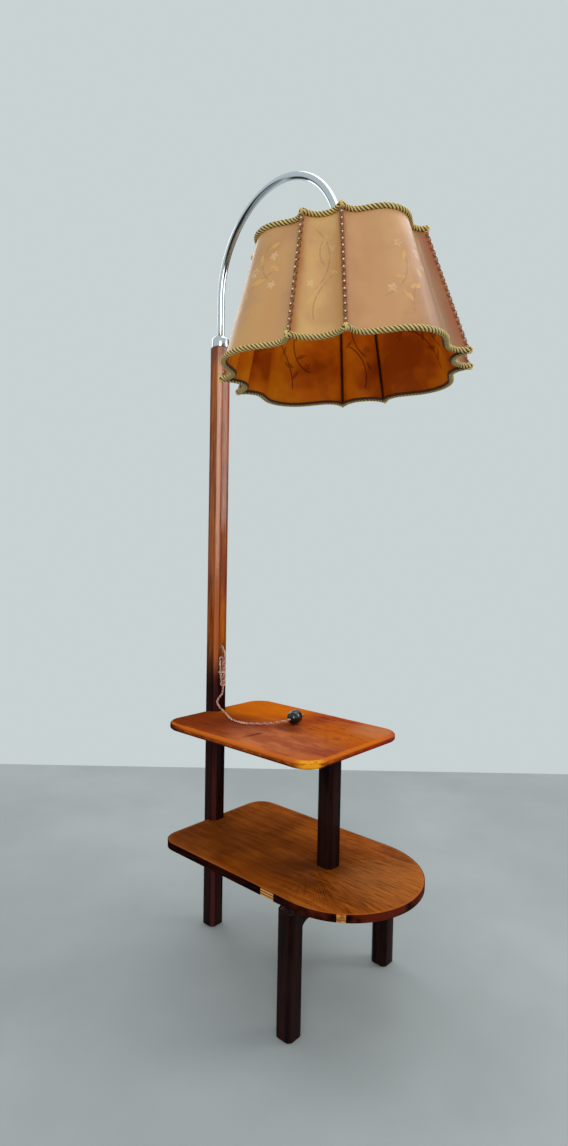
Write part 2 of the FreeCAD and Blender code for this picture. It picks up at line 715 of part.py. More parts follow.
def crown_parts(half_chord):
    """A wide panel's flank length and flare radius that span its half chord and its bulge."""
    t = math.radians(CROWN_HALF_ANGLE)
    f = math.radians(FLARE_ANGLE)
    across = half_chord - CROWN_R * math.sin(t)
    deep = WIDE_BULGE - CROWN_R * (1 - math.cos(t))
    flare_across = math.sin(t) + math.sin(f)
    flare_deep = math.cos(f) - math.cos(t)
    det = math.cos(t) * flare_deep - flare_across * math.sin(t)
    flank = (across * flare_deep - flare_across * deep) / det
    flare = (math.cos(t) * deep - across * math.sin(t)) / det
    return flank, flare


def seam_meeting(centre, radius, half_angle):
    """The angle on a hollow arc at which it meets the seam's plane."""
    seam = polar(1.0, half_angle)
    across = V(-seam.y, seam.x, 0)
    along = centre.dot(seam) - math.sqrt(radius ** 2 - centre.dot(across) ** 2)
    gap = centre - seam * along
    return math.degrees(math.atan2(gap.y, gap.x))


def spread(start, end, count):
    """Evenly spaced angles from start to end, both included."""
    return [start + (end - start) * i / count for i in range(count + 1)]


def wide_section(scale, half_angle, inset):
    """A wide panel's section as points from seam to seam: flare, flank, crown, flank, flare."""
    chord_x = BOTTOM_SEAM_R * math.cos(math.radians(half_angle))
    flank, flare = crown_parts(BOTTOM_SEAM_R * math.sin(math.radians(half_angle)))
    normal = polar(1.0, CROWN_HALF_ANGLE)
    along = V(-normal.y, normal.x, 0)
    crown = V(chord_x + WIDE_BULGE - CROWN_R, 0, 0) * scale
    crown_r = CROWN_R * scale - inset
    hollow = crown + (normal * (CROWN_R + flare) + along * flank) * scale
    hollow_r = flare * scale + inset
    seam = seam_meeting(hollow, hollow_r, half_angle)
    half = [crown + polar(crown_r, a) for a in spread(0, CROWN_HALF_ANGLE, CROWN_FLAT_COUNT)]
    flare_angles = spread(CROWN_HALF_ANGLE, -FLARE_ANGLE, FLARE_FLAT_COUNT)[:-1] + [seam]
    half += [hollow - polar(hollow_r, a) for a in flare_angles]
    mirrored = [V(p.x, -p.y, 0) for p in reversed(half[1:])]
    return mirrored + half


def narrow_section(scale, half_angle, inset):
    """A narrow panel's section as points from seam to seam: one hollow arc."""
    half_chord = BOTTOM_SEAM_R * math.sin(math.radians(half_angle))
    chord_x = BOTTOM_SEAM_R * math.cos(math.radians(half_angle))
    radius = (half_chord ** 2 + NARROW_DIP ** 2) / (2 * NARROW_DIP)
    centre = V(chord_x - NARROW_DIP + radius, 0, 0) * scale
    hollow_r = radius * scale + inset
    seam = seam_meeting(centre, hollow_r, half_angle)
    end = math.degrees(math.asin(half_chord / radius))
    angles = [-seam] + spread(end, -end, NARROW_FLAT_COUNT)[1:-1] + [seam]
    return [centre - polar(hollow_r, a) for a in angles]


def lifted(points, z):
    """Points of the plane taken to a height."""
    return [V(p.x, p.y, z) for p in points]


def make_panel(section, half_angle, turn):
    """One parchment panel from rim to rim, turned to its place round the shade."""
    half = half_angle - SEAM_GAP_ANGLE
    rims = []
    for z in (SHADE_BOTTOM_Z + RIM_MARGIN, SHADE_TOP_Z - RIM_MARGIN):
        outer = section(scale_at(z), half, 0.0)
        inner = section(scale_at(z), half, PARCHMENT)
        rims.append(lifted(outer + inner[::-1], z))
    panel = flat_sided(rims)
    panel.rotate(ORIGIN, UP, turn + SHADE_TURN)
    return panel


def scale_at(z):
    """The shade's section at a height, as a share of its section at the bottom rim."""
    low = SHADE_BOTTOM_Z + RIM_MARGIN
    high = SHADE_TOP_Z - RIM_MARGIN
    return 1.0 + (TOP_SCALE - 1.0) * (z - low) / (high - low)


def rim_outline(z, level, inset):
    """The shade's scalloped outline at a level, moved in by an inset and drawn at a height."""
    scale = scale_at(level)
    points = []
    for quarter in range(4):
        kinds = ((narrow_section, SEAM_ANGLE, 0), (wide_section, WIDE_TURN - SEAM_ANGLE, WIDE_TURN))
        for section, half, turn in kinds:
            for point in section(scale, half, 0.0)[:-1]:
                points.append(turned_about_axis(point, 90 * quarter + turn))
    return polygon(lifted(points, z)).makeOffset2D(-inset, 2)


def make_frame_ring(z):
    """The frame wire that follows the scallops inside one rim, clear of the panels at its top."""
    near = PARCHMENT + FRAME_FIT
    outer = Part.Face(rim_outline(z, z + FRAME_WIRE, near))
    inner = Part.Face(rim_outline(z, z + FRAME_WIRE, near + FRAME_WIRE))
    wire = outer.cut(inner).extrude(V(0, 0, FRAME_WIRE))
    wire.rotate(ORIGIN, UP, SHADE_TURN)
    return wire


def frame_levels():
    """The undersides of the bottom and the top frame wires."""
    return SHADE_BOTTOM_Z + RIM_MARGIN, SHADE_TOP_Z - RIM_MARGIN - FRAME_WIRE


def wire_between(thickness, start, end):
    """A straight frame wire between two points, with flat sides."""
    return flat_rod(thickness / 2.0, start, end - start, WIRE_FLAT_COUNT)


def seam_wedge():
    """The angle between a seam's plane and the narrow panel that ends there."""
    half_chord = BOTTOM_SEAM_R * math.sin(math.radians(SEAM_ANGLE))
    radius = (half_chord ** 2 + NARROW_DIP ** 2) / (2 * NARROW_DIP)
    return math.pi / 2.0 - math.asin(half_chord / radius) - math.radians(SEAM_ANGLE)


def make_seam_ribs():
    """The eight straight frame wires behind the seams, from the lower ring to the upper."""
    bottom_z, top_z = frame_levels()
    behind = (PARCHMENT + FRAME_FIT + FRAME_WIRE / 2.0) / math.sin(seam_wedge())
    ribs = []
    for quarter in range(4):
        for side in (-1, 1):
            angle = 90 * quarter + side * SEAM_ANGLE + SHADE_TURN
            start_z = bottom_z + FRAME_WIRE + RIB_END_FIT
            end_z = top_z - RIB_END_FIT
            start = polar(BOTTOM_SEAM_R * scale_at(start_z) - behind, angle) + UP * start_z
            end = polar(BOTTOM_SEAM_R * scale_at(end_z) - behind, angle) + UP * end_z
            ribs.append(wire_between(FRAME_WIRE, start, end))
    return Part.makeCompound(ribs)


def make_shade_spider():
    """The carrier: a flat ring under the lampholder's shoulder and four arms to the top wire."""
    ring_z = -SHOULDER_DROP - SEAT_GAP
    spider = ring(SPIDER_RING_R, THREAD_R + SEAT_GAP, ring_z - SPIDER_RING_H, ring_z)
    chord_x = TOP_SEAM_R * math.cos(math.radians(SEAM_ANGLE))
    reach = chord_x - NARROW_DIP * TOP_SCALE - PARCHMENT - FRAME_FIT - FRAME_WIRE - SEAT_GAP
    arm_z = frame_levels()[1] + FRAME_WIRE / 2.0
    for quarter in range(4):
        angle = 90 * quarter + SHADE_TURN
        start = polar((RING_NUT_R + SPIDER_RING_R) / 2.0, angle) + UP * (ring_z - SPIDER_RING_H / 2.0)
        end = polar(reach, angle) + UP * arm_z
        spider = spider.fuse(wire_between(SPIDER_WIRE, start, end))
    return spider


def make_shade_ring_nut():
    """The nut on the lampholder's thread that holds the shade's carrier to the shoulder."""
    top = -SHOULDER_DROP - 2 * SEAT_GAP - SPIDER_RING_H
    nut = flat_turned([(RING_NUT_R, top - RING_NUT_H), (RING_NUT_R, top)], RING_NUT_FLAT_COUNT)
    return nut.cut(rod(THREAD_R + SEAT_GAP, V(0, 0, top - RING_NUT_H), UP, RING_NUT_H))


def make_plug_parts():
    """The mains plug, built along +Z from its neck, then laid on a flat with its pins level."""
    h = PLUG_COVER_H
    face = h + PLUG_BASE_H
    cover = flat_turned([(PLUG_NECK_R, 0), (PLUG_NECK_R, PLUG_NECK_H), (PLUG_R, PLUG_SHOULDER_H),
                         (PLUG_R, h)], PLUG_FLAT_COUNT)
    base = flat_turned([(PLUG_R, h), (PLUG_R, face)], PLUG_FLAT_COUNT)
    pins = []
    for side in (-0.5, 0.5):
        root = V(side * PIN_SPACING, 0, h)
        base = base.cut(rod(PIN_ROOT_R + SEAT_GAP, root, UP, PLUG_BASE_H))
        pin = rod(PIN_R, V(side * PIN_SPACING, 0, face), UP, PIN_LENGTH)
        pins.append(pin.fuse(flat_rod(PIN_ROOT_R, root, UP * PLUG_BASE_H, SCREW_FLAT_COUNT)))
    parts = {"plug_cover": cover, "plug_base": base, "plug_pins": Part.makeCompound(pins)}
    heading = math.degrees(math.atan2(PLUG_DIRECTION.y, PLUG_DIRECTION.x))
    level = FreeCAD.Rotation(UP, heading - 90.0)
    for shape in parts.values():
        shape.Placement = FreeCAD.Placement(LEAD_ROUTE[-1], FreeCAD.Rotation(UP, PLUG_DIRECTION) * level)
    return parts


def still_parts():
    """The nodes of the stand: wood, bush, collar, cord and plug."""
    parts = {
        "post": make_post(),
        "upper_table": make_upper_table(),
        "lower_shelf": make_lower_shelf(),
        "shelf_edge_band": make_shelf_edge_band(),
        "short_column": make_short_column(),
        "front_leg": make_leg(-1),
        "rear_leg": make_leg(1),
        "cross_rail": make_cross_rail(),
        "table_screws": Part.makeCompound(board_screws()),
        "arm_bush": make_arm_bush(),
        "post_collar": make_post_collar(),
        "post_lead": make_post_lead(),
        "cord_start": make_cord_start(),
        "cord_hank": make_cord_hank(),
        "cord_lead": cord_tube("cord_lead", *rounded_route(LEAD_ROUTE)),
    }
    parts.update(make_plug_parts())
    return parts


def swinging_parts():
    """The nodes that swing with the bow."""
    bottom_z, top_z = frame_levels()
    parts = {
        "lampholder_cap": make_lampholder_cap(),
        "lampholder_body": make_lampholder_body(),
        "lampholder_insert": make_lampholder_insert(),
        "switch_key": make_switch_key(),
        "bulb": make_bulb(),
        "shade_spider": make_shade_spider(),
        "shade_ring_nut": make_shade_ring_nut(),
        "top_frame_wire": make_frame_ring(top_z),
        "bottom_frame_wire": make_frame_ring(bottom_z),
        "seam_ribs": make_seam_ribs(),
    }
    for quarter in range(4):
        turn = 90 * quarter
        parts["narrow_panel_%d" % (quarter + 1)] = make_panel(narrow_section, SEAM_ANGLE, turn)
        parts["wide_panel_%d" % (quarter + 1)] = make_panel(wide_section, WIDE_TURN - SEAM_ANGLE,
                                                            turn + WIDE_TURN)
    placed = {name: on_lamp(shape) for name, shape in parts.items()}
    placed["arch_tube"] = on_arm(make_arch_tube())
    placed["arm_lead"] = on_arm(make_arm_lead())
    return placed


os.makedirs("parts", exist_ok=True)
for node, shape in {**still_parts(), **swinging_parts()}.items():
    if not shape.isValid():
        print("not valid:", node)
    shape.exportStep("parts/%s.step" % node)
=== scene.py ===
"""Looks of a floor lamp with a two-tier side table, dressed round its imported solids.

Soft-edged polished wood, worn veneer, a smooth chrome bow, a laced parchment shade with twisted
gimp on its rims, two-core twisted flex with its plug. Metres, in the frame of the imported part.
"""

import json
import logging
import math
from dataclasses import dataclass, field
from enum import Enum
from typing import Callable, Iterable, Sequence

import bmesh
import bpy
from bpy.types import ColorRamp, ID, Material, Mesh, Node, NodeSocket, NodeTree, Object
from mathutils import Matrix, Vector

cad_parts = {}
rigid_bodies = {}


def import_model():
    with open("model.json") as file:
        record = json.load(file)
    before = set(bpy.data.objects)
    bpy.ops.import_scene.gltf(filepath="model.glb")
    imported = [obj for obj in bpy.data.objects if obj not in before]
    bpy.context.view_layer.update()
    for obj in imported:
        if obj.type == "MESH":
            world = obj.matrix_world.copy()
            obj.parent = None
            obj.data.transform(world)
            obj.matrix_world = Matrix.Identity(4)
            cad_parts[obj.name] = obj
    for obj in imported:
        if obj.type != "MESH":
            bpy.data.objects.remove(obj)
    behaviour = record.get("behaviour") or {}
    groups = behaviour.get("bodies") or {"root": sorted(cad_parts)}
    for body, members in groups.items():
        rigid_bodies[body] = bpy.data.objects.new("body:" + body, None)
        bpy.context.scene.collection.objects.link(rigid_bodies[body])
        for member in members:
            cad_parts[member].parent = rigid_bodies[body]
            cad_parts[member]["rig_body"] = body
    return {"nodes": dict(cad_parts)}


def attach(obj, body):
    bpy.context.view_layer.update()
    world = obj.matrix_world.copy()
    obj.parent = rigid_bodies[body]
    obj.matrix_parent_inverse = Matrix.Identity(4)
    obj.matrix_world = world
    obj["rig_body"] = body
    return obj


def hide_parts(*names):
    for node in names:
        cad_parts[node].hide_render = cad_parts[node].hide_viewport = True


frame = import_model()

logging.basicConfig(level=logging.INFO, format="%(message)s")
LOG = logging.getLogger("lamp")

Point = tuple[float, float, float]
Colour = tuple[float, float, float]
Flat = tuple[float, float]

MAST_TOP_Z = 1.434
ARM_TURN = math.radians(-6.6)
BOW_R = 0.200
BOW_START_Z = 1.554
BOW_TILT = math.radians(4.0)
TUBE_R = 0.0085
UPPER_TOP_Z = 0.544
SHELF_TOP_Z = 0.271
WELD = 1e-6

ARM = Matrix.Rotation(ARM_TURN, 4, "Z")
BOW_END = Vector((BOW_R + BOW_R * math.cos(BOW_TILT), 0.0, BOW_START_Z + BOW_R * math.sin(BOW_TILT)))
LAMP = ARM @ Matrix.Translation(BOW_END) @ Matrix.Rotation(-BOW_TILT, 4, "Y")


class Body(Enum):
    """The bodies that pieces ride on."""

    STAND = "base"
    ARM = "arm"
    KEY = "switch_key"


class Grain(Enum):
    """The direction in which a wooden piece's grain runs."""

    UPRIGHT = 2
    ACROSS = 1


def tone(red: float, green: float, blue: float) -> Colour:
    """A colour given as 0 to 255 on screen, as the linear numbers that shaders take.

    Args:
        red, green, blue: The three parts on screen.

    Returns:
        The linear colour.
    """
    def linear(value: float) -> float:
        """One channel, from screen to linear."""
        share = value / 255.0
        return share / 12.92 if share <= 0.04045 else ((share + 0.055) / 1.055) ** 2.4
    return linear(red), linear(green), linear(blue)


# Node graphs.


class Sig:
    """A socket in an expression: each operator adds a Math node to the socket's graph."""

    def __init__(self, graph: "Graph", socket: NodeSocket) -> None:
        """Hold a socket and the graph that it belongs to."""
        self.graph = graph
        self.socket = socket

    def op(self, operation: str, *terms: "Sig | float") -> "Sig":
        """One Math node on some terms.

        Args:
            operation: The Math node's operation.
            terms: Its inputs, in order.

        Returns:
            The node's result.
        """
        inputs = dict(enumerate(terms))
        return self.graph.out(self.graph.add("ShaderNodeMath", {"operation": operation}, inputs))

    def __add__(self, other: "Sig | float") -> "Sig":
        """Sum."""
        return self.op("ADD", self, other)

    def __radd__(self, other: float) -> "Sig":
        """Sum, reflected."""
        return self.op("ADD", other, self)

    def __sub__(self, other: "Sig | float") -> "Sig":
        """Difference."""
        return self.op("SUBTRACT", self, other)

    def __rsub__(self, other: float) -> "Sig":
        """Difference, reflected."""
        return self.op("SUBTRACT", other, self)

    def __mul__(self, other: "Sig | float") -> "Sig":
        """Product."""
        return self.op("MULTIPLY", self, other)

    def __rmul__(self, other: float) -> "Sig":
        """Product, reflected."""
        return self.op("MULTIPLY", other, self)

    def __pow__(self, other: "Sig | float") -> "Sig":
        """Power."""
        return self.op("POWER", self, other)

    def __abs__(self) -> "Sig":
        """Size without sign."""
        return self.op("ABSOLUTE", self)

    def low(self, other: "Sig | float") -> "Sig":
        """The smaller of two values."""
        return self.op("MINIMUM", self, other)

    def high(self, other: "Sig | float") -> "Sig":
        """The larger of two values."""
        return self.op("MAXIMUM", self, other)

    def sine(self) -> "Sig":
        """Sine of an angle in radians."""
        return self.op("SINE", self)

    def cosine(self) -> "Sig":
        """Cosine of an angle in radians."""
        return self.op("COSINE", self)

    def step(self, start: float, end: float) -> "Sig":
        """A smooth rise from 0 at start to 1 at end, or a fall where start is the larger."""
        if start > end:
            return 1.0 - self.step(end, start)
        node = self.graph.add("ShaderNodeMapRange", {"interpolation_type": "SMOOTHSTEP"},
                              {"Value": self, "From Min": start, "From Max": end})
        return self.graph.out(node)


class Graph:
    """A node tree with one method that adds any node, and short ones for common nodes."""

    def __init__(self, tree: NodeTree) -> None:
        """Hold the tree."""
        self.tree = tree

    def add(self, kind: str, settings: dict | None = None, inputs: dict | None = None) -> Node:
        """Add a node.

        Args:
            kind: The node's type name.
            settings: Attributes, set first; "stops" holds a ramp's (place, colour) pairs.
            inputs: Values or links by socket name or number.

        Returns:
            The new node.
        """
        node = self.tree.nodes.new(kind)
        for key, value in (settings or {}).items():
            if key == "stops":
                self.fill_ramp(node.color_ramp, value)
            else:
                setattr(node, key, value)
        for key, value in (inputs or {}).items():
            self.feed(node.inputs[key], value)
        return node

    def feed(self, socket: NodeSocket, value: object) -> None:
        """Link a value to a socket, or set it there if it is a constant."""
        if isinstance(value, Sig):
            self.tree.links.new(value.socket, socket)
        elif isinstance(value, NodeSocket):
            self.tree.links.new(value, socket)
        elif socket.type == "RGBA" and len(value) == 3:
            socket.default_value = (*value, 1.0)
        else:
            socket.default_value = value

    def fill_ramp(self, ramp: ColorRamp, stops: Sequence[tuple[float, Colour]]) -> None:
        """Give a ramp its stops."""
        while len(ramp.elements) < len(stops):
            ramp.elements.new(1.0)
        for element, (place, colour) in zip(ramp.elements, stops):
            element.position = place
            element.color = (*colour, 1.0)

    def out(self, node: Node, key: int | str = 0) -> Sig:
        """An output of a node, for use in expressions."""
        return Sig(self, node.outputs[key])

    def spot(self) -> Sig:
        """The place on the piece, in metres: its Object coordinates."""
        return self.out(self.add("ShaderNodeTexCoord"), "Object")

    def sheet_spot(self) -> Sig:
        """The place on a sheet, from its UV map."""
        return self.out(self.add("ShaderNodeUVMap", {"uv_map": "sheet"}), "UV")

    def split(self, vector: Sig) -> tuple[Sig, Sig, Sig]:
        """A vector's three parts."""
        node = self.add("ShaderNodeSeparateXYZ", None, {0: vector})
        return self.out(node, 0), self.out(node, 1), self.out(node, 2)

    def vector(self, operation: str, a: Sig | Point, b: Sig | Point) -> Sig:
        """A Vector Math node on two vectors."""
        return self.out(self.add("ShaderNodeVectorMath", {"operation": operation}, {0: a, 1: b}))

    def scaled(self, vector: Sig, length: Sig) -> Sig:
        """A vector times a number."""
        node = self.add("ShaderNodeVectorMath", {"operation": "SCALE"}, {0: vector, "Scale": length})
        return self.out(node)

    def stored(self, geometry: Node, name: str, value: Sig) -> Node:
        """A geometry with a number kept on its points."""
        return self.add("GeometryNodeStoreNamedAttribute", {"data_type": "FLOAT", "domain": "POINT"},
                        {"Geometry": self.out(geometry), "Name": name, "Value": value})

    def join(self, x: Sig | float, y: Sig | float, z: Sig | float = 0.0) -> Sig:
        """A vector from its three parts."""
        return self.out(self.add("ShaderNodeCombineXYZ", None, {0: x, 1: y, 2: z}))

    def stretched(self, vector: Sig, scale: Point) -> Sig:
        """A place scaled along each axis, which draws a pattern out the other way."""
        return self.vector("MULTIPLY", vector, scale)

    def noise(self, vector: Sig, scale: float, detail: float = 3.0, rough: float = 0.55) -> Sig:
        """Noise from 0 to 1 about 0.5."""
        node = self.add("ShaderNodeTexNoise", None, {"Vector": vector, "Scale": scale, "Detail": detail,
                                                     "Roughness": rough})
        return self.out(node)

    def cracks(self, vector: Sig, scale: float) -> Sig:
        """The distance to the nearest border of random cells."""
        node = self.add("ShaderNodeTexVoronoi", {"feature": "DISTANCE_TO_EDGE"},
                        {"Vector": vector, "Scale": scale})
        return self.out(node)

    def mix(self, share: Sig | float, a: Sig | Colour, b: Sig | Colour) -> Sig:
        """Two colours mixed by a share."""
        node = self.add("ShaderNodeMix", {"data_type": "RGBA"}, {0: share, 6: a, 7: b})
        return self.out(node, 2)

    def ramp(self, share: Sig, stops: Sequence[tuple[float, Colour]]) -> Sig:
        """A colour read from a ramp."""
        return self.out(self.add("ShaderNodeValToRGB", {"stops": stops}, {0: share}))

    def bump(self, height: Sig, strength: float, distance: float) -> Sig:
        """A normal from a height."""
        node = self.add("ShaderNodeBump", None, {"Height": height, "Strength": strength,
                                                 "Distance": distance})
        return self.out(node)


def new_material(name: str, build: Callable[[Graph], dict]) -> Material:
    """A material with one Principled surface.

    Args:
        name: The material's name; a material of that name that exists is used again.
        build: Takes the graph and returns the surface's inputs by name.

    Returns:
        The material.
    """
    label = "finish_" + name
    found = bpy.data.materials.get(label)
    if found:
        return found
    material = bpy.data.materials.new(label)
    material.use_nodes = True
    tree = material.node_tree
    tree.nodes.clear()
    graph = Graph(tree)
    surface = graph.add("ShaderNodeBsdfPrincipled", None, build(graph))
    graph.add("ShaderNodeOutputMaterial", None, {"Surface": surface.outputs[0]})
    return material


# Finishes.


@dataclass(frozen=True)
class Finish:
    """A finish that pieces can share."""

    name: str

    def surface(self, g: Graph) -> dict:
        """The surface's looks.

        Args:
            g: The material's graph.

        Returns:
            The surface's inputs by name.
        """
        raise NotImplementedError

    def material(self) -> Material:
        """The finish as a material."""
        return new_material(self.name, self.surface)


@dataclass(frozen=True)
class PolishedWood(Finish):
    """French-polished dark wood with streaks along its grain.

    The part above glow_z is orange-brown, partly the wood's own colour and partly painted light, with the
    darker part below partly painted shade; its planed corners carry a painted highlight, as on the mast.
    """

    grain: Grain
    deep: Colour
    warm: Colour
    glow_z: float | None = None
    corner_sum: float = 0.0335
    drawn_out: float = 0.045

    def surface(self, g: Graph) -> dict:
        """Streaks and pores, and the mast's lighter upper part, partly painted light."""
        spot = g.spot()
        scale = tuple(self.drawn_out if axis == self.grain.value else 1.0 for axis in range(3))
        along = g.stretched(spot, scale)
        streak = g.noise(along, 75.0, 4.0, 0.6).step(0.36, 0.64)
        fine = g.noise(along, 420.0, 2.0)
        share = streak * 0.7 + fine.step(0.35, 0.65) * 0.3
        colour = g.mix(share, self.deep, self.warm)
        worn = g.noise(spot, 38.0, 3.0).step(0.5, 0.75)
        coat = worn * 0.05 + 0.07
        if self.glow_z is not None:
            colour, upper = self.glowing(g, spot, share, colour)
            coat = coat + upper * 0.42
        pores = fine.step(0.60, 0.72)
        colour = g.mix(pores * 0.4, colour, tone(20, 8, 6))
        return {"Base Color": colour, "Roughness": 0.24 + worn * 0.14, "Specular IOR Level": 0.02,
                "Coat Weight": coat, "Coat Roughness": 0.12,
                "Normal": g.bump(fine, 0.10, 0.0004)}

    def glowing(self, g: Graph, spot: Sig, share: Sig, colour: Sig) -> tuple[Sig, Sig]:
        """The orange-brown upper part, partly painted light, and the painted highlight on its planed corners.

        Args:
            g: The graph.
            spot: The place on the piece.
            share: How light the streaks are.
            colour: The dark wood's colour.

        Returns:
            The colour, and how far a place belongs to the upper part.
        """
        x, y, z = g.split(spot)
        patch = g.noise(spot, 6.0, 3.0)
        level = z + (patch - 0.5) * 0.10
        # Lighter above glow_z: partly the wood's own colour, partly painted light, with painted shade below.
        upper = level.step(self.glow_z, self.glow_z + 0.15)
        glow = g.ramp(share, ((0.0, tone(98, 38, 8)), (0.4, tone(156, 76, 14)), (1.0, tone(194, 110, 30))))
        mottled = g.noise(g.stretched(spot, (1.0, 1.0, 0.35)), 28.0, 3.0).step(0.45, 0.65)
        glow = g.mix(mottled * 0.50, glow, tone(112, 40, 16))
        colour = g.mix(upper, colour, glow)
        corner = (abs(x) + abs(y)).step(self.corner_sum - 0.0008, self.corner_sum - 0.0003)
        # The pale tone is a painted highlight on the planed corners, paler higher up.
        pale = g.mix(level.step(0.8, 1.35), tone(192, 108, 62), tone(222, 168, 136))
        crown = level.step(1.385, 1.425)
        colour = g.mix(crown * 0.60, colour, tone(84, 38, 40))
        low_corner = corner * (1.0 - upper) * (0.30 + share * 0.35)
        colour = g.mix(low_corner, colour, tone(92, 44, 42))
        # Where the corners' painted highlight shows: from just above glow_z, half as strong near the top.
        highlit_band = level.step(self.glow_z + 0.01, self.glow_z + 0.08) * (1.0 - crown * 0.5)
        return g.mix(corner * highlit_band * (0.70 + share * 0.25), colour, pale), upper


@dataclass(frozen=True)
class Blot:
    """A soft round mark on a board: its middle, its reach, and how its length is squeezed."""

    x: float
    y: float
    reach: float
    squeeze: float = 1.0

    def mask(self, x: Sig, y: Sig) -> Sig:
        """1 in the mark's middle, 0 outside."""
        across = x * self.squeeze - self.x
        away = y - self.y
        return ((across * across + away * away) ** 0.5).step(self.reach, self.reach * 0.3)


@dataclass(frozen=True)
class BoardVeneer(Finish):
    """Old shellacked veneer on a board: streaks along X, clouds, rubbed rims."""

    top_z: float
    stops: tuple[tuple[float, Colour], ...]
    x0: float
    x1: float
    half_width: float
    corner_r: float
    round_end: bool

    def rim_distance(self, x: Sig, y: Sig) -> Sig:
        """How far inside the board's outline a place is, in metres."""
        if self.round_end:
            past = (x - (self.x1 - self.half_width)).high(0.0)
            reach = (past * past + y * y) ** 0.5
            return (self.half_width - reach).low(x - self.x0)
        middle = (self.x0 + self.x1) / 2
        across = (abs(x - middle) - ((self.x1 - self.x0) / 2 - self.corner_r)).high(0.0)
        deep = (abs(y) - (self.half_width - self.corner_r)).high(0.0)
        return self.corner_r - (across * across + deep * deep) ** 0.5

    def plies(self, g: Graph, z: Sig) -> Sig:
        """The light and dark layers of the core, seen on an edge."""
        layer = ((z - self.top_z) * (2 * math.pi / 0.0052)).sine()
        grain = g.noise(g.stretched(g.spot(), (1.0, 1.0, 6.0)), 90.0, 2.0)
        pale = g.mix(grain, tone(196, 132, 66), tone(236, 184, 112))
        return g.mix(layer.step(-0.5, 0.1), tone(120, 66, 26), pale)

    def surface(self, g: Graph) -> dict:
        """Streaked and clouded face, rubbed rims, plies on the edge where it is bare."""
        spot = g.spot()
        x, y, z = g.split(spot)
        wave = g.noise(spot, 6.0, 2.0)
        bent = g.join(x, y + wave * 0.04, z)
        streak = g.noise(g.stretched(bent, (0.09, 1.0, 1.0)), 70.0, 4.0, 0.62).step(0.36, 0.63)
        fine = g.noise(g.stretched(bent, (0.05, 1.0, 1.0)), 330.0, 3.0, 0.6)
        cloud = g.noise(spot, 8.0, 4.0, 0.6).step(0.36, 0.63)
        share = streak * 0.34 + cloud * 0.46 + fine.step(0.35, 0.65) * 0.20
        colour = g.ramp(share, self.stops)
        colour = self.face_tones(g, colour, x, y, z)
        pores = fine.step(0.57, 0.68) * cloud.step(0.1, 0.7)
        colour = g.mix(pores * 0.38, colour, tone(70, 28, 10))
        rim = self.rim_distance(x, y)
        colour = self.edges(g, colour, rim, x, y, z)
        scuffs = g.noise(g.stretched(spot, (3.0, 1.0, 1.0)), 55.0, 4.0, 0.7).step(0.52, 0.80)
        return {"Base Color": colour, "Roughness": 0.32 + scuffs * 0.2, "Specular IOR Level": 0.0,
                "Coat Weight": self.gloss(x, y) * 0.12, "Coat Roughness": 0.16,
                "Normal": g.bump(fine + cloud * 0.5, 0.08, 0.0005)}

    def gloss(self, x: Sig, y: Sig) -> Sig:
        """Where the shellac still shines."""
        return x.step(0.20, 0.45) * 0.35 + 0.10

    def face_tones(self, g: Graph, colour: Sig, x: Sig, y: Sig, z: Sig) -> Sig:
        """Tones and marks on the face that belong to this board alone.

        Args:
            g: The graph.
            colour: The face's colour so far.
            x, y, z: The place on the board.

        Returns:
            The colour with the marks.
        """
        return colour

    def edges(self, g: Graph, colour: Sig, rim: Sig, x: Sig, y: Sig, z: Sig) -> Sig:
        """The board's edge and rim; rim is the distance from the outline, the rest as for face_tones."""
        return colour


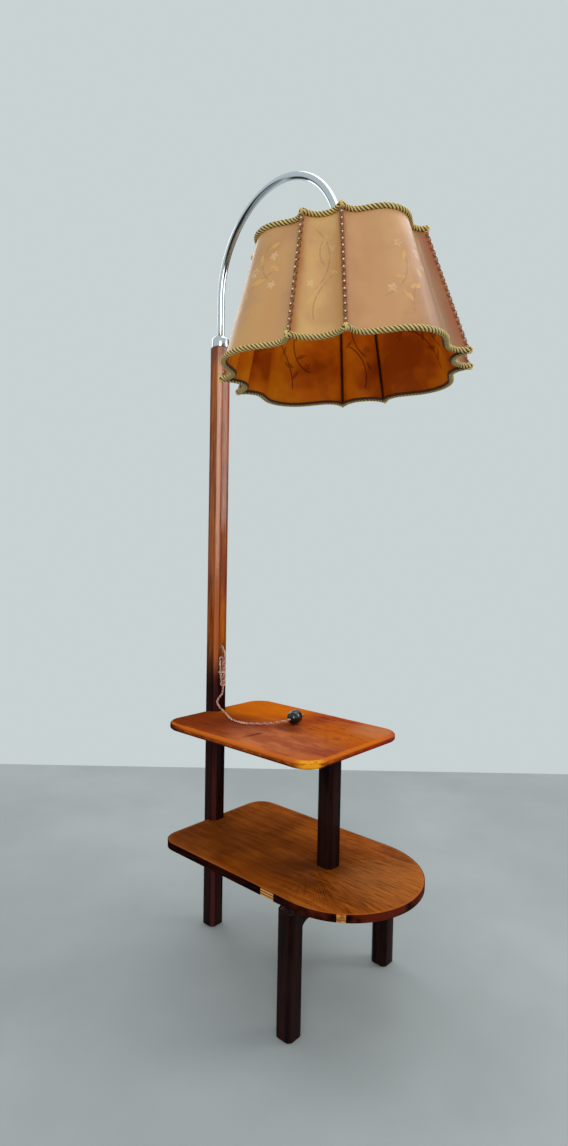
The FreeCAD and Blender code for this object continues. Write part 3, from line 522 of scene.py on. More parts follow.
@dataclass(frozen=True)
class UpperVeneer(BoardVeneer):
    """The upper board: bright orange at the back corner, red clouds, painted shadow of the mast, painted
    reflections, and a rim partly worn to yellow, partly a painted highlight.
    """

    cloudy: Blot = Blot(0.145, -0.075, 0.150, 0.55)
    mast_shadow: Blot = Blot(0.040, -0.075, 0.230)
    back_corner: Blot = Blot(0.045, 0.150, 0.215)
    orange_end: Blot = Blot(0.385, 0.060, 0.150)
    far_sheen: Blot = Blot(0.405, 0.135, 0.100)
    scored: Blot = Blot(0.270, 0.020, 0.120, 0.8)
    under_plug: Blot = Blot(0.170, -0.004, 0.034, 0.7)
    scratch: Flat = (0.225, -0.100)
    yellow_corner: Blot = Blot(0.436, -0.150, 0.042)
    left_corner: Blot = Blot(0.000, -0.160, 0.085)
    glossy: Blot = Blot(0.155, -0.080, 0.115, 0.55)

    def face_tones(self, g: Graph, colour: Sig, x: Sig, y: Sig, z: Sig) -> Sig:
        """A bright back corner, painted shadow and reflection of the mast, a cloudy middle partly painted
        reflection, an orange end, and painted reflection on the far corner.
        """
        blotchy = g.noise(g.join(x * 0.5, y, z), 26.0, 4.0, 0.65).step(0.38, 0.62)
        # The cloudy middle: clouded polish under a painted hazy reflection.
        clouds = g.mix(blotchy, tone(146, 68, 40), tone(188, 104, 58))
        colour = g.mix(self.cloudy.mask(x, y) * 0.70, colour, clouds)
        # Painted shadow and painted reflection of the mast on the board.
        shadows = g.mix(blotchy, tone(74, 24, 10), tone(116, 46, 16))
        colour = g.mix(self.mast_shadow.mask(x, y) * (0.62 + blotchy * 0.30), colour, shadows)
        bright = (self.back_corner.mask(x, y) * 1.5).low(1.0)
        colour = g.mix(bright * 0.90, colour, g.mix(blotchy * 0.5, tone(200, 104, 16), tone(180, 84, 14)))
        colour = g.mix(self.orange_end.mask(x, y) * 0.55, colour, tone(194, 98, 22))
        red = y.step(0.085, 0.140) * x.step(0.16, 0.28)
        colour = g.mix(red * 0.55, colour, g.mix(blotchy, tone(130, 44, 26), tone(184, 96, 60)))
        # Painted reflection on the far corner.
        colour = g.mix(self.far_sheen.mask(x, y) * 0.60, colour, tone(186, 122, 78))
        return self.wear_and_sheen(g, colour, blotchy, x, y)

    def wear_and_sheen(self, g: Graph, colour: Sig, blotchy: Sig, x: Sig, y: Sig) -> Sig:
        """Fine scores, a dark spot by the plug, a short scratch and a painted sheen along the near edge."""
        score = g.noise(g.join(x * 0.10, y + x * 0.12, 0.0), 260.0, 2.0).step(0.57, 0.63)
        scored = self.scored.mask(x, y) * blotchy.step(0.0, 0.7)
        colour = g.mix(score * scored * 0.80, colour, tone(84, 30, 12))
        spot = self.under_plug.mask(x, y) * score.high(blotchy * 0.4 + 0.5)
        colour = g.mix(spot * 0.8, colour, tone(70, 28, 16))
        beside = abs(x - self.scratch[0] - (y - self.scratch[1]) * 0.1)
        length = y.step(-0.135, -0.110) * y.step(-0.060, -0.080)
        colour = g.mix(beside.step(0.0080, 0.0025) * length * 0.75, colour, tone(84, 22, 12))
        # A painted sheen along the near edge.
        near_sheen = y.step(-0.075, -0.150) * x.step(0.14, 0.28) * (0.5 + blotchy * 0.5)
        return g.mix(near_sheen * 0.42, colour, tone(206, 122, 70))

    def edges(self, g: Graph, colour: Sig, rim: Sig, x: Sig, y: Sig, z: Sig) -> Sig:
        """Orange upper rim, partly worn and partly a painted highlight, yellow at the near corner, deep red
        side, dark by the mast.
        """
        uneven = g.noise(g.join(x, y, z * 4.0), 46.0, 4.0, 0.65)
        # The orange upper rim: worn finish with a painted highlight on it.
        highlit_band = (rim + (uneven - 0.5) * 0.012).step(0.011, 0.004)
        colour = g.mix(highlit_band * 0.8, colour, tone(208, 108, 30))
        drop = self.top_z - z
        side = (drop + (uneven - 0.5) * 0.006).step(0.0035, 0.0075)
        stops = ((0.34, tone(74, 22, 16)), (0.50, tone(140, 50, 18)), (0.64, tone(204, 96, 24)))
        flank = g.ramp(uneven, stops)
        colour = g.mix(side * 0.9, colour, flank)
        lower = (drop + (uneven - 0.5) * 0.004).step(0.0095, 0.0130)
        colour = g.mix(lower * 0.8, colour, tone(70, 22, 18))
        near = self.yellow_corner.mask(x, y) * (rim + uneven * 0.006).step(0.016, 0.006)
        colour = g.mix(near * uneven.step(0.36, 0.50), colour, tone(250, 166, 34))
        end = x.step(0.425, 0.438) * y.step(-0.10, 0.02) * side
        colour = g.mix(end * 0.7, colour, tone(150, 44, 28))
        far = y.step(0.05, 0.16) * x.step(0.40, 0.436) * rim.step(0.012, 0.004)
        colour = g.mix(far * 0.7, colour, g.mix(side, tone(150, 60, 50), tone(92, 34, 52)))
        left = self.left_corner.mask(x, y) * drop.step(0.0008, 0.0030)
        colour = g.mix(left * 0.9, colour, tone(58, 20, 24))
        mast_end = x.step(0.030, 0.002) * rim.step(0.014, 0.005) * y.step(0.10, 0.02)
        return g.mix(mast_end * 0.75, colour, tone(54, 20, 16))

    def gloss(self, x: Sig, y: Sig) -> Sig:
        """Where the shellac still shines: the cloudy middle."""
        return self.glossy.mask(x, y)


@dataclass(frozen=True)
class ShelfVeneer(BoardVeneer):
    """The lower shelf: streaky mid-brown, fine scores that fan out over its round end."""

    dark_middle: Blot = Blot(0.130, -0.020, 0.190, 0.6)
    near_edge: Blot = Blot(0.155, -0.150, 0.070, 0.6)
    column_foot: Flat = (0.330, -0.020)
    scored: Blot = Blot(0.460, -0.010, 0.190)
    light_end: Blot = Blot(0.500, 0.020, 0.140)
    bare_end: Blot = Blot(0.500, 0.045, 0.125)
    light_corner: Blot = Blot(0.090, 0.100, 0.100)
    dull_corner: Blot = Blot(0.060, -0.090, 0.150)

    def face_tones(self, g: Graph, colour: Sig, x: Sig, y: Sig, z: Sig) -> Sig:
        """A darker middle, a fan of scores from the column's foot, and lighter places."""
        colour = g.mix(self.dark_middle.mask(x, y) * 0.40, colour, tone(90, 42, 6))
        colour = g.mix(self.near_edge.mask(x, y) * 0.5, colour, tone(140, 66, 10))
        dx = x - self.column_foot[0]
        dy = y - self.column_foot[1]
        away = (dx * dx + dy * dy) ** 0.5
        turn = dy.op("ARCTAN2", dy, dx)
        fan = g.noise(g.join(turn * 30.0, away * 5.0), 2.4, 3.0, 0.6).step(0.52, 0.60)
        long = g.noise(g.join(x * 0.08, y, 0.0), 210.0, 2.0).step(0.54, 0.60)
        reach = self.scored.mask(x, y) * away.step(0.025, 0.055)
        colour = g.mix(fan.high(long * 0.7) * reach * 0.85, colour, tone(58, 24, 6))
        colour = g.mix(self.light_end.mask(x, y) * 0.35, colour, tone(168, 98, 44))
        colour = g.mix(self.light_corner.mask(x, y) * 0.30, colour, tone(134, 70, 22))
        colour = g.mix(self.dull_corner.mask(x, y) * 0.45, colour, tone(84, 40, 16))
        return g.mix(self.bare_end.mask(x, y) * long.step(0.6, 0.0) * 0.40, colour, tone(176, 108, 52))

    def edges(self, g: Graph, colour: Sig, rim: Sig, x: Sig, y: Sig, z: Sig) -> Sig:
        """A painted highlight along the rim, and where the edge veneer is gone the core, browner at the
        second chip.
        """
        # A painted highlight along the rim.
        colour = g.mix(rim.step(0.0075, 0.0025) * 0.5, colour, tone(176, 96, 40))
        tanned = g.mix(g.noise(g.spot(), 120.0, 2.0).step(0.4, 0.6), tone(150, 78, 24), tone(222, 146, 62))
        core = g.mix(x.step(0.400, 0.425) * 0.75, self.plies(g, z), tanned)
        return g.mix((self.top_z - z).step(0.0003, 0.0006), colour, core)


@dataclass(frozen=True)
class EdgeBand(Finish):
    """Near-black mahogany edge veneer, reddish where it has faded at the round end."""

    name: str = "edge_veneer"

    def surface(self, g: Graph) -> dict:
        """Streaks round the edge and faded patches."""
        spot = g.spot()
        x, _, _ = g.split(spot)
        streak = g.noise(g.stretched(spot, (0.2, 0.2, 2.5)), 130.0, 3.0)
        patch = g.noise(spot, 16.0, 3.0).step(0.45, 0.62)
        faded = patch * x.step(0.36, 0.50)
        colour = g.mix(streak.step(0.38, 0.62), tone(14, 5, 5), tone(44, 15, 10))
        colour = g.mix(faded * 0.6, colour, tone(112, 42, 22))
        return {"Base Color": colour, "Roughness": 0.26 + patch * 0.12, "Specular IOR Level": 0.0,
                "Coat Weight": x.step(0.25, 0.50) * 0.06, "Coat Roughness": 0.1,
                "Normal": g.bump(streak, 0.08, 0.0003)}


@dataclass(frozen=True)
class PlainMetal(Finish):
    """Plated or turned metal with fine handling marks."""

    colour: Colour
    roughness: float
    marks: float

    def surface(self, g: Graph) -> dict:
        """Faint cloudy marks of use in the gloss and small dull spots."""
        spot = g.spot()
        cloud = g.noise(spot, 60.0, 3.0)
        pits = g.noise(spot, 900.0, 1.0).step(0.70, 0.80)
        colour = g.mix(pits * self.marks, self.colour, tuple(0.45 * c for c in self.colour))
        rough = self.roughness + cloud.step(0.45, 0.8) * self.marks * 0.25 + pits * self.marks * 0.3
        return {"Base Color": colour, "Metallic": 1.0, "Roughness": rough}


CHROME = PlainMetal("chrome_plate", tone(198, 206, 210), 0.12, 0.10)
BRASS = PlainMetal("brass", tone(205, 170, 100), 0.30, 0.6)


@dataclass(frozen=True)
class Moulded(Finish):
    """Pressed thermoset or glazed ceramic: even, glossy, slightly mottled."""

    colour: Colour
    mottle: Colour
    roughness: float
    coat: float = 0.4

    def surface(self, g: Graph) -> dict:
        """Fine mottling and a slightly orange-peeled gloss."""
        spot = g.spot()
        flecks = g.noise(spot, 260.0, 3.0).step(0.52, 0.72)
        peel = g.noise(spot, 500.0, 1.0)
        return {"Base Color": g.mix(flecks, self.colour, self.mottle),
                "Roughness": self.roughness + flecks * 0.08, "Specular IOR Level": 0.30,
                "Coat Weight": self.coat, "Coat Roughness": 0.08,
                "Normal": g.bump(peel, 0.05, 0.0002)}


@dataclass(frozen=True)
class FrostedGlass(Finish):
    """White frosted glass with a slight cloud of dust."""

    name: str = "frosted_glass"

    def surface(self, g: Graph) -> dict:
        """Milky glass."""
        dust = g.noise(g.spot(), 45.0, 3.0)
        return {"Base Color": g.mix(dust, tone(226, 224, 216), tone(246, 245, 240)),
                "Roughness": 0.22 + dust * 0.2, "Coat Weight": 0.2}


@dataclass(frozen=True)
class Leaf:
    """A painted leaf: its middle on the sheet, its direction, half length and half width."""

    u: float
    v: float
    degrees: float
    reach: float
    width: float

    def mask(self, u: Sig, v: Sig) -> Sig:
        """1 on the leaf, 0 off it."""
        c = math.cos(math.radians(self.degrees))
        s = math.sin(math.radians(self.degrees))
        du = u - self.u
        dv = v - self.v
        along = (du * c + dv * s) * (1.0 / self.reach)
        side = abs(dv * c - du * s) * (1.0 / self.width)
        return (1.0 - along * along - side).step(-0.05, 0.25)


@dataclass(frozen=True)
class Blossom:
    """A painted five-petalled blossom."""

    u: float
    v: float
    radius: float

    def mask(self, u: Sig, v: Sig) -> Sig:
        """1 on the petals, less in the blossom's eye."""
        du = u - self.u
        dv = v - self.v
        reach = (du * du + dv * dv) ** 0.5 * (1.0 / self.radius)
        turn = du.op("ARCTAN2", dv, du)
        petals = (turn * 5.0).cosine() * 0.22 + 0.78
        return (petals - reach).step(-0.02, 0.14) * (0.55 + 0.45 * reach.step(0.12, 0.26))


@dataclass(frozen=True)
class Stem:
    """A painted stem: a stretch of a circle, between two heights."""

    u: float
    v: float
    radius: float
    low: float
    high: float
    left: bool
    width: float = 0.0011

    def mask(self, u: Sig, v: Sig) -> Sig:
        """1 on the stem."""
        du = u - self.u
        dv = v - self.v
        off = abs((du * du + dv * dv) ** 0.5 - self.radius)
        side = du.step(0.004, -0.004) if self.left else du.step(-0.004, 0.004)
        span = v.step(self.low, self.low + 0.006) * v.step(self.high, self.high - 0.006)
        return off.step(self.width * 1.7, self.width * 0.6) * side * span


@dataclass(frozen=True)
class Spray:
    """A loose painted spray of stems, leaves and blossoms for one kind of panel."""

    stems: tuple[Stem, ...]
    leaves: tuple[Leaf, ...]
    blossoms: tuple[Blossom, ...]

    def masks(self, u: Sig, v: Sig) -> tuple[Sig, Sig, Sig]:
        """Where stems, leaves and blossoms lie.

        Args:
            u: The place across the sheet, in metres from its middle.
            v: The place up the sheet, in metres from its lower rim.

        Returns:
            The three masks.
        """
        layers = []
        for group in (self.stems, self.leaves, self.blossoms):
            whole = group[0].mask(u, v)
            for shape in group[1:]:
                whole = whole.high(shape.mask(u, v))
            layers.append(whole)
        return tuple(layers)


WIDE_SPRAY = Spray(
    stems=(Stem(0.115, 0.020, 0.135, 0.030, 0.150, True), Stem(-0.085, 0.135, 0.075, 0.062, 0.150, False),
           Stem(0.095, 0.175, 0.062, 0.120, 0.205, True)),
    leaves=(Leaf(-0.022, 0.062, 120, 0.013, 0.0050), Leaf(-0.004, 0.082, 20, 0.014, 0.0055),
            Leaf(0.012, 0.110, 105, 0.012, 0.0045), Leaf(0.034, 0.128, 12, 0.014, 0.0055),
            Leaf(-0.030, 0.100, 165, 0.012, 0.0045), Leaf(0.030, 0.172, 100, 0.012, 0.0045),
            Leaf(0.060, 0.150, 330, 0.013, 0.0050), Leaf(-0.012, 0.142, 70, 0.011, 0.0042),
            Leaf(0.048, 0.196, 40, 0.011, 0.0042)),
    blossoms=(Blossom(-0.046, 0.078, 0.0105), Blossom(0.020, 0.150, 0.0120), Blossom(0.052, 0.176, 0.0095),
              Blossom(0.062, 0.118, 0.0090), Blossom(-0.018, 0.166, 0.0080)),
)

NARROW_SPRAY = Spray(
    stems=(Stem(0.060, 0.050, 0.075, 0.020, 0.118, True), Stem(-0.070, 0.150, 0.082, 0.085, 0.215, False),
           Stem(0.042, 0.165, 0.048, 0.135, 0.205, True)),
    leaves=(Leaf(-0.022, 0.070, 60, 0.011, 0.0042), Leaf(0.022, 0.118, 150, 0.011, 0.0042),
            Leaf(0.004, 0.190, 80, 0.011, 0.0042), Leaf(-0.016, 0.150, 20, 0.010, 0.0038)),
    blossoms=(Blossom(-0.020, 0.104, 0.0085), Blossom(0.018, 0.168, 0.0090)),
)


@dataclass(frozen=True)
class Parchment(Finish):
    """Waxed parchment card, yellowed with age to honey and rose, with a faint painted spray."""

    spray: Spray
    inside: bool
    left: Colour = tone(202, 155, 92)
    right: Colour = tone(206, 158, 108)
    flank_shade_way: Flat = (0.744, 0.668)

    def surface(self, g: Graph) -> dict:
        """The face that this side of the card shows."""
        return self.inner(g) if self.inside else self.outer(g)

    def outer(self, g: Graph) -> dict:
        """The outer face: honey to rose, darker by the seams, with painted shade on the flank that turns away
        from the light, and the painted spray.
        """
        spot = g.spot()
        x, y, _ = g.split(spot)
        u, v, _ = g.split(g.sheet_spot())
        cloud = g.noise(spot, 11.0, 3.0)
        fibre = g.noise(spot, 260.0, 3.0, 0.6)
        side = (x + (cloud - 0.5) * 0.25).step(0.26, 0.52)
        colour = g.mix(side, self.left, self.right)
        # Painted shade: darker on the flank that turns away from the light.
        out = x * self.flank_shade_way[0] + y * self.flank_shade_way[1]
        flank_shade = (out + (cloud - 0.5) * 0.05).step(0.345, 0.425)
        colour = g.mix(flank_shade * 0.75, colour, tone(142, 100, 76))
        colour = g.mix(cloud.step(0.40, 0.66) * 0.35, colour, tone(170, 120, 76))
        flush = g.noise(g.stretched(spot, (1.0, 1.0, 0.4)), 6.0, 2.0).step(0.55, 0.75)
        colour = g.mix(flush * 0.25, colour, tone(196, 128, 84))
        seam = g.out(g.add("ShaderNodeAttribute", {"attribute_name": "seam"}), "Fac")
        stain = (seam + (cloud - 0.5) * 0.030).step(0.024, 0.002)
        colour = g.mix(stain * 0.62, colour, tone(168, 84, 38))
        stems, leaves, blossoms = self.spray.masks(u, v)
        torn = g.noise(spot, 130.0, 3.0).step(0.36, 0.56)
        colour = g.mix(stems * torn * 0.45, colour, tone(150, 104, 76))
        colour = g.mix(leaves * torn * 0.62, colour, tone(226, 178, 92))
        colour = g.mix(blossoms * torn * 0.55, colour, tone(232, 200, 150))
        colour = g.mix(fibre.step(0.6, 0.8) * 0.12, colour, tone(120, 76, 44))
        return {"Base Color": colour, "Roughness": 0.36 + cloud * 0.12, "Specular IOR Level": 0.30,
                "Coat Weight": 0.16, "Coat Roughness": 0.18,
                "Normal": g.bump(cloud * 0.7 + fibre * 0.02, 0.25, 0.004)}

    def inner(self, g: Graph) -> dict:
        """The inner face: deep orange-brown, partly the card's own colour and partly painted light shining
        through it, with the spray showing through as shadow.
        """
        spot = g.spot()
        u, v, _ = g.split(g.sheet_spot())
        cloud = g.noise(spot, 9.0, 3.0)
        # Bright orange: the card's own colour, partly painted light shining through the card.
        stops = ((0.36, tone(184, 84, 5)), (0.50, tone(230, 120, 9)), (0.64, tone(248, 150, 18)))
        colour = g.ramp(cloud, stops)
        stems, leaves, blossoms = self.spray.masks(u, v)
        shade = (stems * 0.75).high(leaves * 0.45).high(blossoms * 0.30)
        colour = g.mix(shade, colour, tone(70, 22, 6))
        seam = g.out(g.add("ShaderNodeAttribute", {"attribute_name": "seam"}), "Fac")
        colour = g.mix(seam.step(0.009, 0.002) * 0.7, colour, tone(60, 22, 10))
        crease = g.cracks(g.stretched(spot, (1.0, 1.0, 0.35)), 7.5).step(0.010, 0.003)
        where = g.noise(spot, 5.0, 2.0).step(0.56, 0.66)
        colour = g.mix(crease * where * 0.4, colour, tone(232, 150, 80))
        return {"Base Color": colour, "Roughness": 0.42 + cloud * 0.1, "Specular IOR Level": 0.05,
                "Coat Weight": 0.05, "Coat Roughness": 0.25, "Normal": g.bump(cloud, 0.2, 0.004)}


@dataclass(frozen=True)
class Yarn(Finish):
    """Cotton or silk yarn: fine plies that run slantwise round each strand."""

    light: Colour
    dark: Colour
    ply: float = 0.0011
    slant: float = 2.0
    patch: Colour | None = None

    def surface(self, g: Graph) -> dict:
        """Plies from the strand's own length and turn, with a painted highlight on their ridges and painted
        shade in their grooves, faded in patches.
        """
        along = g.out(g.add("ShaderNodeAttribute", {"attribute_name": "along"}), "Fac")
        round_ = g.out(g.add("ShaderNodeAttribute", {"attribute_name": "around"}), "Fac")
        lay = ((along * (1.0 / self.ply) + round_ * self.slant) * (2 * math.pi)).sine()
        ridge = lay.step(-0.9, 0.6)
        faded = g.noise(g.spot(), 70.0, 3.0)
        # The plies' ridges take the light colour and the grooves between them the dark: a painted highlight
        # and painted shade along the lay.
        colour = g.mix(ridge * (0.55 + faded * 0.6), self.dark, self.light)
        if self.patch:
            colour = g.mix(faded.step(0.52, 0.68), colour, self.patch)
        return {"Base Color": colour, "Roughness": 0.62 + faded * 0.2,
                "Normal": g.bump(ridge, 0.5, 0.0003)}


# Meshes.


@dataclass
class Shell:
    """A mesh in the making: points, faces, their materials and their places on a sheet."""

    points: list[Vector] = field(default_factory=list)
    faces: list[tuple[int, ...]] = field(default_factory=list)
    slots: list[int] = field(default_factory=list)
    flat: list[Flat] = field(default_factory=list)
    seam: list[float] = field(default_factory=list)

    def grid(self, rows: Sequence[Sequence[Vector]], closed: bool, slot: int = 0) -> int:
        """Add a grid of quads between rows of as many points each.

        Args:
            rows: The rows of points.
            closed: Whether each row is a ring.
            slot: The faces' material.

        Returns:
            The number of the first point.
        """
        first = len(self.points)
        count = len(rows[0])
        for row in rows:
            self.points.extend(Vector(p) for p in row)
        for i in range(len(rows) - 1):
            for j in range(count if closed else count - 1):
                a = first + i * count + j
                b = first + i * count + (j + 1) % count
                self.faces.append((a, b, b + count, a + count))
                self.slots.append(slot)
        return first

    def cap(self, ring: Sequence[int], slot: int = 0) -> None:
        """Close a ring of points with one face."""
        self.faces.append(tuple(ring))
        self.slots.append(slot)

    def lathe(self, profile: Sequence[Flat], sides: int, place: Matrix, slot: int = 0) -> None:
        """Add a turned solid.

        Args:
            profile: (radius, height) pairs; a radius of 0 is a pole, and a line that ends where it
                starts makes a ring.
            sides: Steps round the axis.
            place: Takes the solid from its own Z axis to where it stands.
            slot: The faces' material.
        """
        rings: list[list[int]] = []
        for radius, height in profile:
            if radius < 1e-7:
                self.points.append(place @ Vector((0.0, 0.0, height)))
                rings.append([len(self.points) - 1])
                continue
            ring = []
            for i in range(sides):
                turn = 2 * math.pi * i / sides
                self.points.append(place @ Vector((radius * math.cos(turn), radius * math.sin(turn), height)))
                ring.append(len(self.points) - 1)
            rings.append(ring)
        for low, high in zip(rings, rings[1:]):
            for i in range(sides):
                j = (i + 1) % sides
                corners = [low[i % len(low)], low[j % len(low)], high[j % len(high)], high[i % len(high)]]
                face = tuple(dict.fromkeys(corners))
                if len(face) > 2:
                    self.faces.append(face)
                    self.slots.append(slot)
        for ring in (rings[0], rings[-1]):
            if len(ring) > 1 and profile[0] != profile[-1]:
                self.cap(ring, slot)

    def tube(self, line: Sequence[Vector], radii: Sequence[float], sides: int, slot: int = 0) -> None:
        """Add a closed tube along a line, with its ends rounded off by the radii given.

        Args:
            line: Points of the centre line.
            radii: The tube's radius at each point.
            sides: Steps round the line.
            slot: The faces' material.
        """
        rows = []
        side = None
        for i, at in enumerate(line):
            ahead = heading(line, i)
            if side is None:
                side = ahead.orthogonal().normalized()
            side = (side - ahead * side.dot(ahead)).normalized()
            rows.append(hoop(at, side, ahead.cross(side), radii[i], sides))
        first = self.grid(rows, True, slot)
        last = first + (len(rows) - 1) * sides
        self.cap(range(first, first + sides), slot)
        self.cap(range(last, last + sides), slot)

    def piece(self, name: str, materials: Sequence[Material], sharp: float = 35.0,
              place: Matrix | None = None) -> Object:
        """Make the mesh an object.

        Args:
            name: The piece's name.
            materials: Its materials, in the order of the slots.
            sharp: Edges sharper than this many degrees stay sharp.
            place: Taken from the shell's own frame to the part's frame.

        Returns:
            The object, at the origin.
        """
        mesh = bpy.data.meshes.new(name)
        mesh.from_pydata([place @ p if place else p for p in self.points], [], self.faces)
        mesh.polygons.foreach_set("material_index", self.slots)
        if self.flat:
            layer = mesh.uv_layers.new(name="sheet")
            for loop in mesh.loops:
                layer.data[loop.index].uv = self.flat[loop.vertex_index]
        if self.seam:
            mesh.attributes.new("seam", "FLOAT", "POINT").data.foreach_set("value", self.seam)
        facing_out(mesh)
        return finished(name, mesh, materials, sharp)


def heading(line: Sequence[Vector], i: int) -> Vector:
    """The direction in which a line runs at one of its points."""
    return (line[min(i + 1, len(line) - 1)] - line[max(i - 1, 0)]).normalized()


def hoop(at: Vector, side: Vector, other: Vector, radius: float, sides: int) -> list[Vector]:
    """A ring of points about a place, in the plane of two directions."""
    turns = (2 * math.pi * k / sides for k in range(sides))
    return [at + (side * math.cos(t) + other * math.sin(t)) * radius for t in turns]


def facing_out(mesh: Mesh, weld: float = 0.0) -> None:
    """Turn a closed mesh's faces outwards.

    Args:
        mesh: The mesh.
        weld: Points no further apart are merged first.
    """
    work = bmesh.new()
    work.from_mesh(mesh)
    if weld:
        bmesh.ops.remove_doubles(work, verts=work.verts, dist=weld)
    bmesh.ops.recalc_face_normals(work, faces=work.faces)
    work.to_mesh(mesh)
    work.free()


def linked(name: str, data: ID) -> Object:
    """A new object in the scene for a mesh, a curve, a camera or a light."""
    piece = bpy.data.objects.new(name, data)
    bpy.context.scene.collection.objects.link(piece)
    return piece


def finished(name: str, mesh: Mesh, materials: Iterable[Material], sharp: float) -> Object:
    """A shaded object for a new mesh, linked to the scene.

    Args:
        name: The object's name.
        mesh: The mesh.
        materials: Its material slots.
        sharp: Edges that bend by more degrees stay sharp.

    Returns:
        The object.
    """
    for material in materials:
        mesh.materials.append(material)
    mesh.polygons.foreach_set("use_smooth", [True] * len(mesh.polygons))
    mesh.set_sharp_from_angle(angle=math.radians(sharp))
    return linked(name, mesh)


def baked(piece: Object) -> Mesh:
    """The mesh of an object with its modifiers; the object itself is removed."""
    bpy.context.view_layer.update()
    seen = piece.evaluated_get(bpy.context.evaluated_depsgraph_get())
    mesh = bpy.data.meshes.new_from_object(seen)
    bpy.data.objects.remove(piece)
    return mesh


def softened(node: str, name: str, material: Material, round_off: float, steps: int = 2,
             least: float = 0.0025, bend: float = 25.0) -> Object:
    """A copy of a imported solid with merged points, flat faces joined and sharp edges rounded.

    Args:
        node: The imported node.
        name: The new piece's name.
        material: Its finish.
        round_off: How far each edge is rounded, in metres.
        steps: Faces across each rounding.
        least: Shorter edges, such as those of small holes, stay as they are.
        bend: Edges that bend by fewer degrees stay as they are.

    Returns:
        The piece, which stands for the node.
    """
    work = bmesh.new()
    work.from_mesh(frame["nodes"][node].data)
    bmesh.ops.remove_doubles(work, verts=work.verts, dist=2e-6)
    bmesh.ops.dissolve_limit(work, angle_limit=math.radians(0.6), verts=work.verts, edges=work.edges)
    edges = [e for e in work.edges if len(e.link_faces) == 2 and e.calc_length() > least
             and e.calc_face_angle(0.0) > math.radians(bend)]
    bmesh.ops.bevel(work, geom=edges, offset=round_off, segments=steps, profile=0.5, affect="EDGES",
                    clamp_overlap=False)
    mesh = bpy.data.meshes.new(name)
    work.to_mesh(mesh)
    work.free()
    piece = finished(name, mesh, [material], 40.0)
    return placed(piece, Body(frame["nodes"][node]["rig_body"]), [node])


def placed(piece: Object, body: Body, nodes: Sequence[str] = ()) -> Object:
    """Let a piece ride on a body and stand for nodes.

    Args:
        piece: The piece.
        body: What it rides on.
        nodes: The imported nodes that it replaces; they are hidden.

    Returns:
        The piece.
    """
    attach(piece, body.value)
    if nodes:
        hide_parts(*nodes)
    LOG.info("%-24s %-11s %6d faces  %s", piece.name, body.value, len(piece.data.polygons), ", ".join(nodes))
    return piece


def dressed(node: str, material: Material) -> None:
    """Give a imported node, which stays as it is, its material."""
    slots = frame["nodes"][node].data.materials
    slots.clear()
    slots.append(material)
    LOG.info("%-24s stays as packed", node)


def line_object(name: str, loops: Sequence[Sequence[Vector]], closed: bool,
                outward: Sequence[Vector] | None = None) -> Object:
    """An object of bare edges, one chain for each loop, for a node tree to follow.

    Args:
        name: The object's name.
        loops: The chains' points.
        closed: Whether each chain is closed.
        outward: A direction for each chain, kept on its points as "outward".

    Returns:
        The object.
    """
    points: list[Vector] = []
    edges: list[tuple[int, int]] = []
    facing: list[float] = []
    for number, loop in enumerate(loops):
        first = len(points)
        points.extend(loop)
        edges.extend((first + i, first + i + 1) for i in range(len(loop) - 1))
        if closed:
            edges.append((first + len(loop) - 1, first))
        if outward:
            facing.extend(list(outward[number]) * len(loop))
    mesh = bpy.data.meshes.new(name)
    mesh.from_pydata(points, edges, [])
    if outward:
        mesh.attributes.new("outward", "FLOAT_VECTOR", "POINT").data.foreach_set("vector", facing)
    return linked(name, mesh)


# Repeated work.


@dataclass(frozen=True)
class Strand:
    """One strand of a twisted or laced cord: its phase, its sense and its material."""

    phase: float
    sense: int
    material: Material
    thick: float = 1.0


